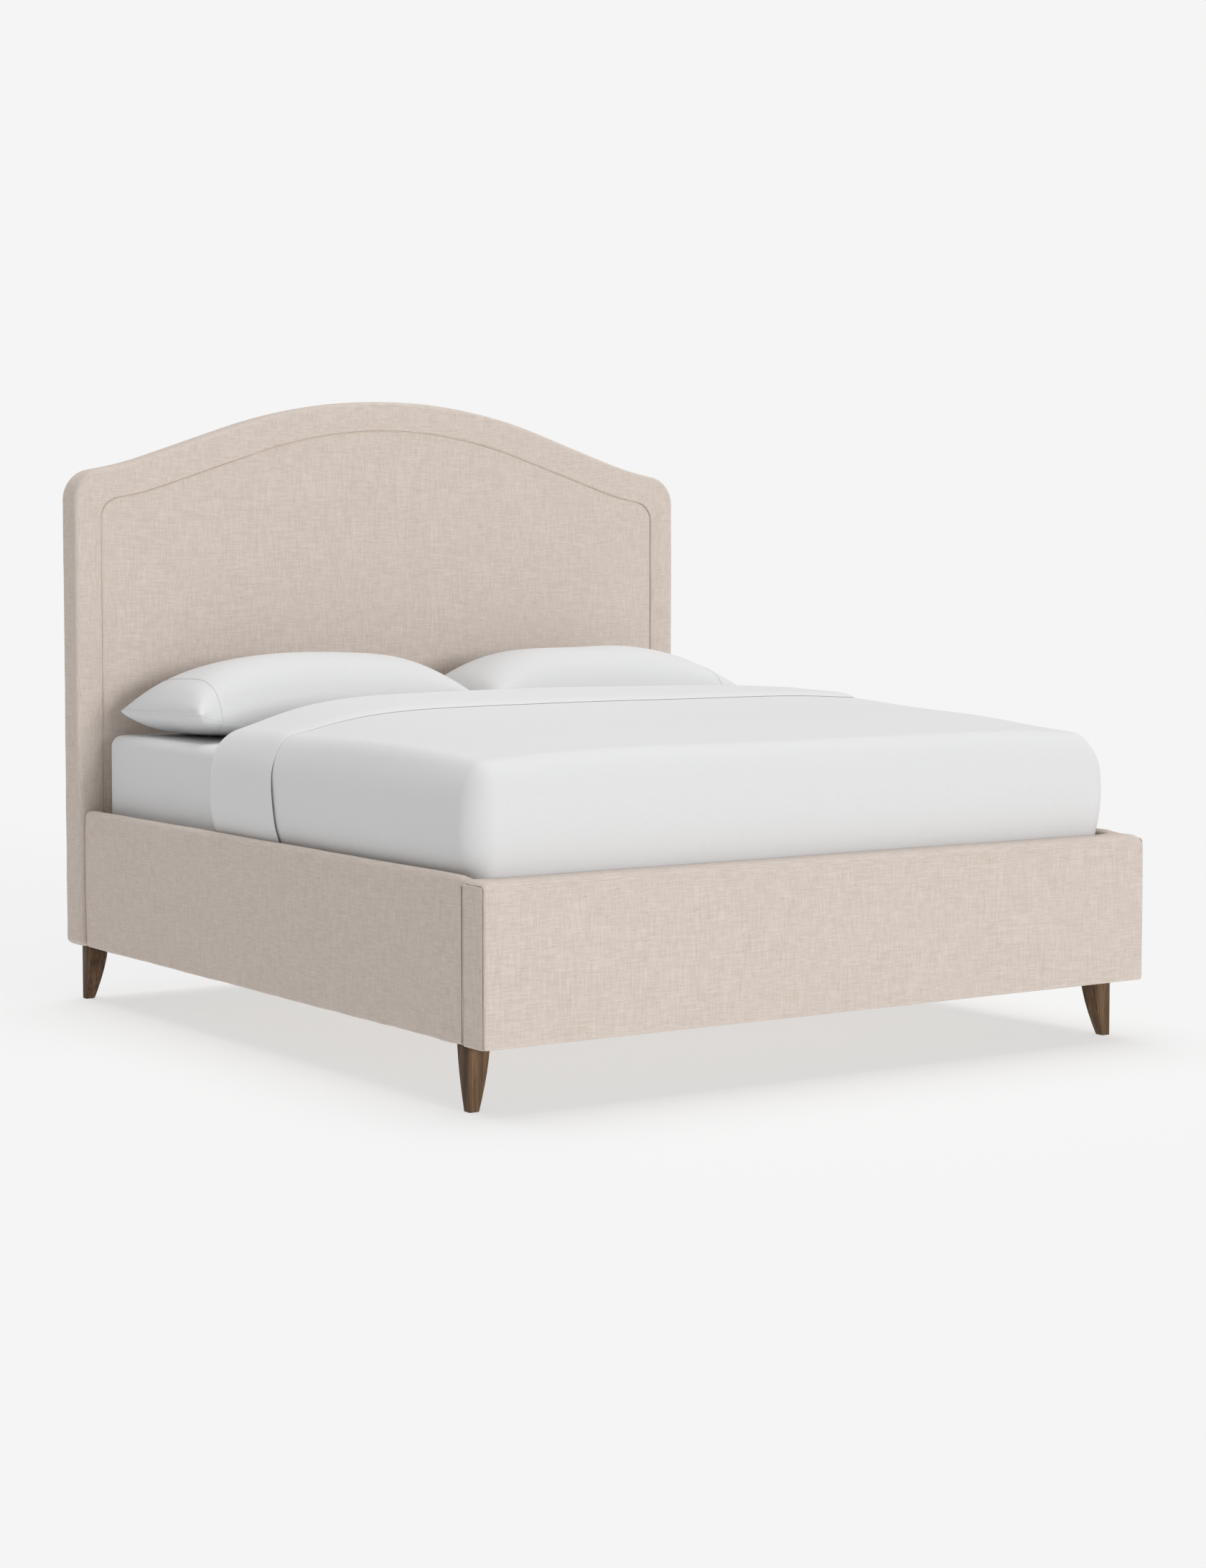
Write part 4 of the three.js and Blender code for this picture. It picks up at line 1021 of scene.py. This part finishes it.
def flat_sheet():
    """Top sheet: turned back over the duvet, folded round its head end and lying on under it to the foot."""
    steps = duvet_steps()
    hem_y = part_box("flat_sheet")[0].y
    edge_y = 0.262
    skin, under_faces = box_skin(steps, ["x-", "x+", "y-", "z+"])
    under = duvet_lining(skin)
    inset = 0.0023
    under[:, 0] -= np.sign(under[:, 0]) * inset * (np.abs(under[:, 0]) > 0.90)
    under[:, 1] += inset * (under[:, 1] < M_LOW.y + 0.03)
    under[:, 2] -= inset * smooth_step(under[:, 2], 0.70, M_HIGH.z)
    head_edge = np.flatnonzero(skin[:, 1] > D_HIGH.y - 1e-6)
    x, _, z = skin[head_edge].T
    walk = np.where(x < D_LOW.x + 1e-6, z - 2, np.where(x > D_HIGH.x - 1e-6, 2 - z, x))
    head_edge = head_edge[np.argsort(walk)]
    columns = skin[head_edge]
    hanging = smooth_step(-columns[:, 2], -0.80, -0.66)

    def over_row(y, from_hem):
        """A row of the turned-back part, lying just over the duvet and pressed down at its hem."""
        box_row = columns.copy()
        box_row[:, 1] = y
        lift = 0.0008 + 0.0080 * (1 - math.exp(-from_hem / 0.020))
        side_lift = 0.0055 + 0.0030 * (1 - math.exp(-from_hem / 0.012))
        flat_row, side_row = duvet_surface(box_row, lift), duvet_surface(box_row, side_lift)
        row = flat_row + (side_row - flat_row) * hanging[:, None]
        row[:, 1] = y
        return row

    rows = []
    near_hem = hem_y + np.array([0, 0.0012, 0.004, 0.009, 0.016, 0.026, 0.040])
    for y in np.concatenate([near_hem, np.linspace(hem_y + 0.058, edge_y, 15)]):
        from_hem = y - hem_y
        row = over_row(y, from_hem)
        row[:, 1] -= 0.042 * (1 - from_hem / 0.3) * smooth_step(-row[:, 2], -0.86, -0.56)
        rows.append(row)
    start = rows[-1]
    end = under[head_edge].copy()
    end[:, 1] = edge_y - 0.01
    nose = 0.050 * (1 - hanging) + 0.030 * hanging
    for share in np.linspace(0, 1, 12)[1:]:
        turn = (1 - math.cos(math.pi * share)) / 2
        row = start * (1 - turn) + end * turn
        row[:, 1] = start[:, 1] + (end[:, 1] - start[:, 1]) * share + nose * math.sin(math.pi * share)
        rows.append(row)
    rows = np.array(rows[::-1])
    count, size = rows.shape[:2]
    flat = rows.reshape(-1, 3)
    soft = 0.0010 * ripple(flat, 81, finest=6) * np.repeat(np.arange(count) < 11, size)
    flat[:, 1] += soft
    near_fold = edge_y - 0.06
    under[:, 1] -= 0.65 * np.maximum(under[:, 1] - near_fold, 0)
    base = len(under)
    faces = list(under_faces) + grid_faces(count, size, base)
    faces += [(int(head_edge[c]), int(head_edge[c + 1]), base + c + 1, base + c) for c in range(size - 1)]
    shape = (np.concatenate([under, flat]), faces)
    sheet = add_piece("flat_sheet_turned_down", shape, COTTON, "top_bedding")
    thickness(sheet, 0.0016, offset=0)
    subdivide(sheet)
    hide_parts("flat_sheet")


# ---- pillows ----
PILLOW_FRONT_RISE = 0.013
FRONT_TIP = 0.050
TIP_LIFT = 0.006
FRONT_DROP = 0.045


def pillow_points(side, us, vs, sign, share=1.0):
    """Points of one face of a pillow over its plan, u along the bed's width and v towards the headboard."""
    low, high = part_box("pillow_right")
    centre = (low + high) / 2
    half_x, half_y = (high.x - low.x) / 2, (high.y - low.y) / 2
    middle = 0.838
    up, down = high.z - middle, middle - low.z
    power, fullness = (2.8, 0.58) if sign > 0 else (3.4, 0.46)
    inner = smooth_step(-us * side, 0.0, 0.6)

    def dome(s, extra=0.0):
        """Height of the pillow's face along one direction, 1 in the middle and 0 at the seam."""
        return np.maximum(1 - np.abs(s) ** (power + 0.6 * extra), 0) ** (fullness - 0.03 * extra)

    swell = dome(us, inner) * dome(vs) * share
    droop = FRONT_DROP * (1 - np.abs(us) ** 5) * (1 - vs) / 2 * (1 - swell)
    x = side * centre.x + half_x * us * (1 - 0.030 * (1 - inner) * (1 - vs ** 2)) * (1 - 0.003 * us ** 8)
    x -= side * 0.006 * inner
    y = centre.y + half_y * vs * (1 - 0.050 * (1 - us ** 2)) - FRONT_TIP * (1 - vs) / 2 * us ** 8
    z = middle - droop - PILLOW_FRONT_RISE * vs + TIP_LIFT * vs * us ** 8
    z += (up if sign > 0 else -down) * swell
    return np.stack([x, y, np.maximum(z, low.z)], -1)


def pillow_mesh(side):
    """A closed pillow from two domed faces that meet along the edge seam."""
    nu, nv = 46, 26
    u = -np.cos(np.pi * np.arange(nu + 1) / nu)
    v = -np.cos(np.pi * np.arange(nv + 1) / nv)
    us, vs = np.meshgrid(u, v, indexing="ij")
    top = pillow_points(side, us, vs, 1).reshape(-1, 3)
    bottom = pillow_points(side, us, vs, -1).reshape(-1, 3)
    rim = (np.abs(us.ravel()) > 0.999999) | (np.abs(vs.ravel()) > 0.999999)
    extra = np.cumsum(~rim) - 1 + len(top)
    low_index = np.where(rim, np.arange(len(top)), extra)
    points = np.concatenate([top, bottom[~rim]])
    faces = []
    for i in range(nu):
        for j in range(nv):
            a, b = i * (nv + 1) + j, (i + 1) * (nv + 1) + j
            quad = (a, b, b + 1, a + 1)
            faces += [quad, tuple(int(low_index[q]) for q in reversed(quad))]
    ring = np.array([(s, -1.0) for s in u] + [(1.0, s) for s in v[1:]] + [(s, 1.0) for s in u[::-1][1:]]
                    + [(-1.0, s) for s in v[::-1][1:-1]])
    seam = pillow_points(side, ring[:, 0], ring[:, 1], 1, 0.0)
    return points, faces, seam


def read_points(mesh):
    """A mesh's points as rows of x, y and z."""
    values = np.zeros(len(mesh.vertices) * 3)
    mesh.vertices.foreach_get("co", values)
    return values.reshape(-1, 3)


def write_points(mesh, points):
    """Moves a mesh's points."""
    mesh.vertices.foreach_set("co", points.ravel())
    mesh.update()


def inflate(obj, voxel, pressure, cap, frames):
    """Swells a closed mesh as a stuffed cloth bag, with no point moving further than cap."""
    remesh = obj.modifiers.new("remesh", "REMESH")
    remesh.mode = "VOXEL"
    remesh.voxel_size = voxel
    apply_all(obj)
    rest = read_points(obj.data)
    cloth = obj.modifiers.new("cloth", "CLOTH")
    cloth.settings.use_pressure = True
    cloth.settings.uniform_pressure_force = pressure
    cloth.settings.effector_weights.gravity = 0
    cloth.settings.quality = 5
    cloth.settings.tension_stiffness = 20
    cloth.settings.compression_stiffness = 20
    cloth.settings.bending_stiffness = 0.4
    scene = bpy.context.scene
    for step in range(1, frames + 1):
        scene.frame_set(step)
    evaluated = obj.evaluated_get(bpy.context.evaluated_depsgraph_get())
    move = read_points(evaluated.data) - rest
    far = np.linalg.norm(move, axis=1)[:, None]
    move *= np.tanh(far / cap) * cap / np.maximum(far, 1e-9)
    obj.modifiers.remove(cloth)
    write_points(obj.data, rest + move)
    scene.frame_set(1)


def apply_all(obj):
    """Bakes an object's modifiers into its mesh."""
    evaluated = obj.evaluated_get(bpy.context.evaluated_depsgraph_get())
    made = bpy.data.meshes.new_from_object(evaluated)
    obj.modifiers.clear()
    obj.data = made


def relax(obj, factor, times):
    """Evens out a mesh's small dents."""
    modifier = obj.modifiers.new("relax", "SMOOTH")
    modifier.factor = factor
    modifier.iterations = times
    apply_all(obj)


def section_loop(obj, x):
    """The loop where the upright plane at x cuts a mesh, as ordered points."""
    cut = bmesh.new()
    cut.from_mesh(obj.data)
    everything = cut.verts[:] + cut.edges[:] + cut.faces[:]
    found = bmesh.ops.bisect_plane(cut, geom=everything, plane_co=(x, 0, 0), plane_no=(1, 0, 0))
    points = np.array([part.co[:] for part in found["geom_cut"] if isinstance(part, bmesh.types.BMVert)])
    cut.free()
    middle = points.mean(0)
    angles = np.arctan2(points[:, 2] - middle[2], points[:, 1] - middle[1])
    return points[np.argsort(angles)]


def evenly(loop, count):
    """A closed loop resampled to evenly spaced points."""
    closed = np.concatenate([loop, loop[:1]])
    run = np.concatenate([[0], np.cumsum(np.linalg.norm(np.diff(closed, axis=0), axis=1))])
    at = np.linspace(0, run[-1], count, endpoint=False)
    return np.column_stack([np.interp(at, run, closed[:, a]) for a in range(3)])


def pillow(side, name):
    """A stuffed pillow in its case, with the case's hem stitching and the seam round its edge."""
    body = f"pillow_{name}"
    low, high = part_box(body)
    floor = low.z
    points, faces, seam = pillow_mesh(side)
    bag = add_piece(f"pillow_{name}_bag", (points, faces), COTTON_CASE)
    inflate(bag, voxel=0.0085, pressure=4.0, cap=0.004, frames=16)
    relax(bag, factor=0.5, times=5)
    subdivide(bag)
    apply_all(bag)
    points = read_points(bag.data)
    soft = 0.0022 * ripple(points, 91 + side, finest=4)
    points[:, 2] += soft * smooth_step(points[:, 2], floor + 0.03, floor + 0.10)
    points[:, 2] = np.maximum(points[:, 2], floor)
    write_points(bag.data, points)
    bag.data.polygons.foreach_set("use_smooth", [True] * len(bag.data.polygons))
    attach(bag, body)
    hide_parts(body)

    hem_in, stitch, seam_cord = 0.094, 0.0011, 0.0016
    hem_x = low.x + hem_in if side < 0 else high.x - hem_in
    loop = evenly(section_loop(bag, hem_x), 150)
    add_piece(f"pillow_{name}_hem_stitching", tube(loop, stitch, sides=6), THREAD, body)
    build = bmesh.new()
    build.from_mesh(bag.data)
    tree = BVHTree.FromBMesh(build)
    build.free()
    path = np.array([tree.find_nearest(Vector(p))[0][:] for p in evenly(seam, 300)])
    path[:, 2] = np.maximum(path[:, 2], floor + 0.001)
    add_piece(f"pillow_{name}_edge_seam", tube(path, seam_cord, sides=6), COTTON_CASE, body)


# ---- carried-over frame parts ----
def dress_frame():
    """Materials for the CAD parts that stay, with softened edges."""
    by_start = [
        ("headboard_core_board", PLY[1]), ("headboard_back_cloth", DUST_CLOTH),
        ("headboard_stile", PINE[2]), ("headboard_cross_rail", PINE[0]),
        ("side_rail_left_board", PLY[0]), ("side_rail_right_board", PLY[0]), ("slat_ledger", PINE[1]),
        ("footboard_end_block", PINE[2]), ("footboard_front_board", PLY[1]),
        ("footboard_back_board", PLY[1]), ("corner_block", PINE[2]), ("head_bracket", STEEL),
        ("leg_plate", STEEL), ("leg_", WALNUT),
        ("slat_", PINE[0]), ("centre_beam", PINE[1]), ("beam_hanger", STEEL), ("centre_leg", PINE[2]),
        ("levelling_foot", NYLON),
    ]
    for name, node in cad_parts.items():
        if node.hide_render:
            continue
        material = next(m for start, m in by_start if name.startswith(start))
        node.data.materials.clear()
        node.data.materials.append(material)
        node.data.polygons.foreach_set("use_smooth", [True] * len(node.data.polygons))
        node.data.polygons.foreach_set("material_index", [0] * len(node.data.polygons))
        weld = node.modifiers.new("weld", "WELD")
        weld.merge_threshold = 0.00005
        bevel = node.modifiers.new("edges", "BEVEL")
        bevel.width = 0.0010 if name.startswith("leg_") else 0.0006
        bevel.segments = 2
        bevel.limit_method = "ANGLE"
        bevel.angle_limit = math.radians(32)
        bevel.harden_normals = True


add_camera()
add_studio()
headboard_border()
headboard_panel()
headboard_piping()
back_staples()
side_rails()
footboard_wrap()
footboard_strips()
corner_seams()
mattress()
fitted_sheet()
duvet()
flat_sheet()
for side, name in SIDES:
    pillow(side, name)
dress_frame()
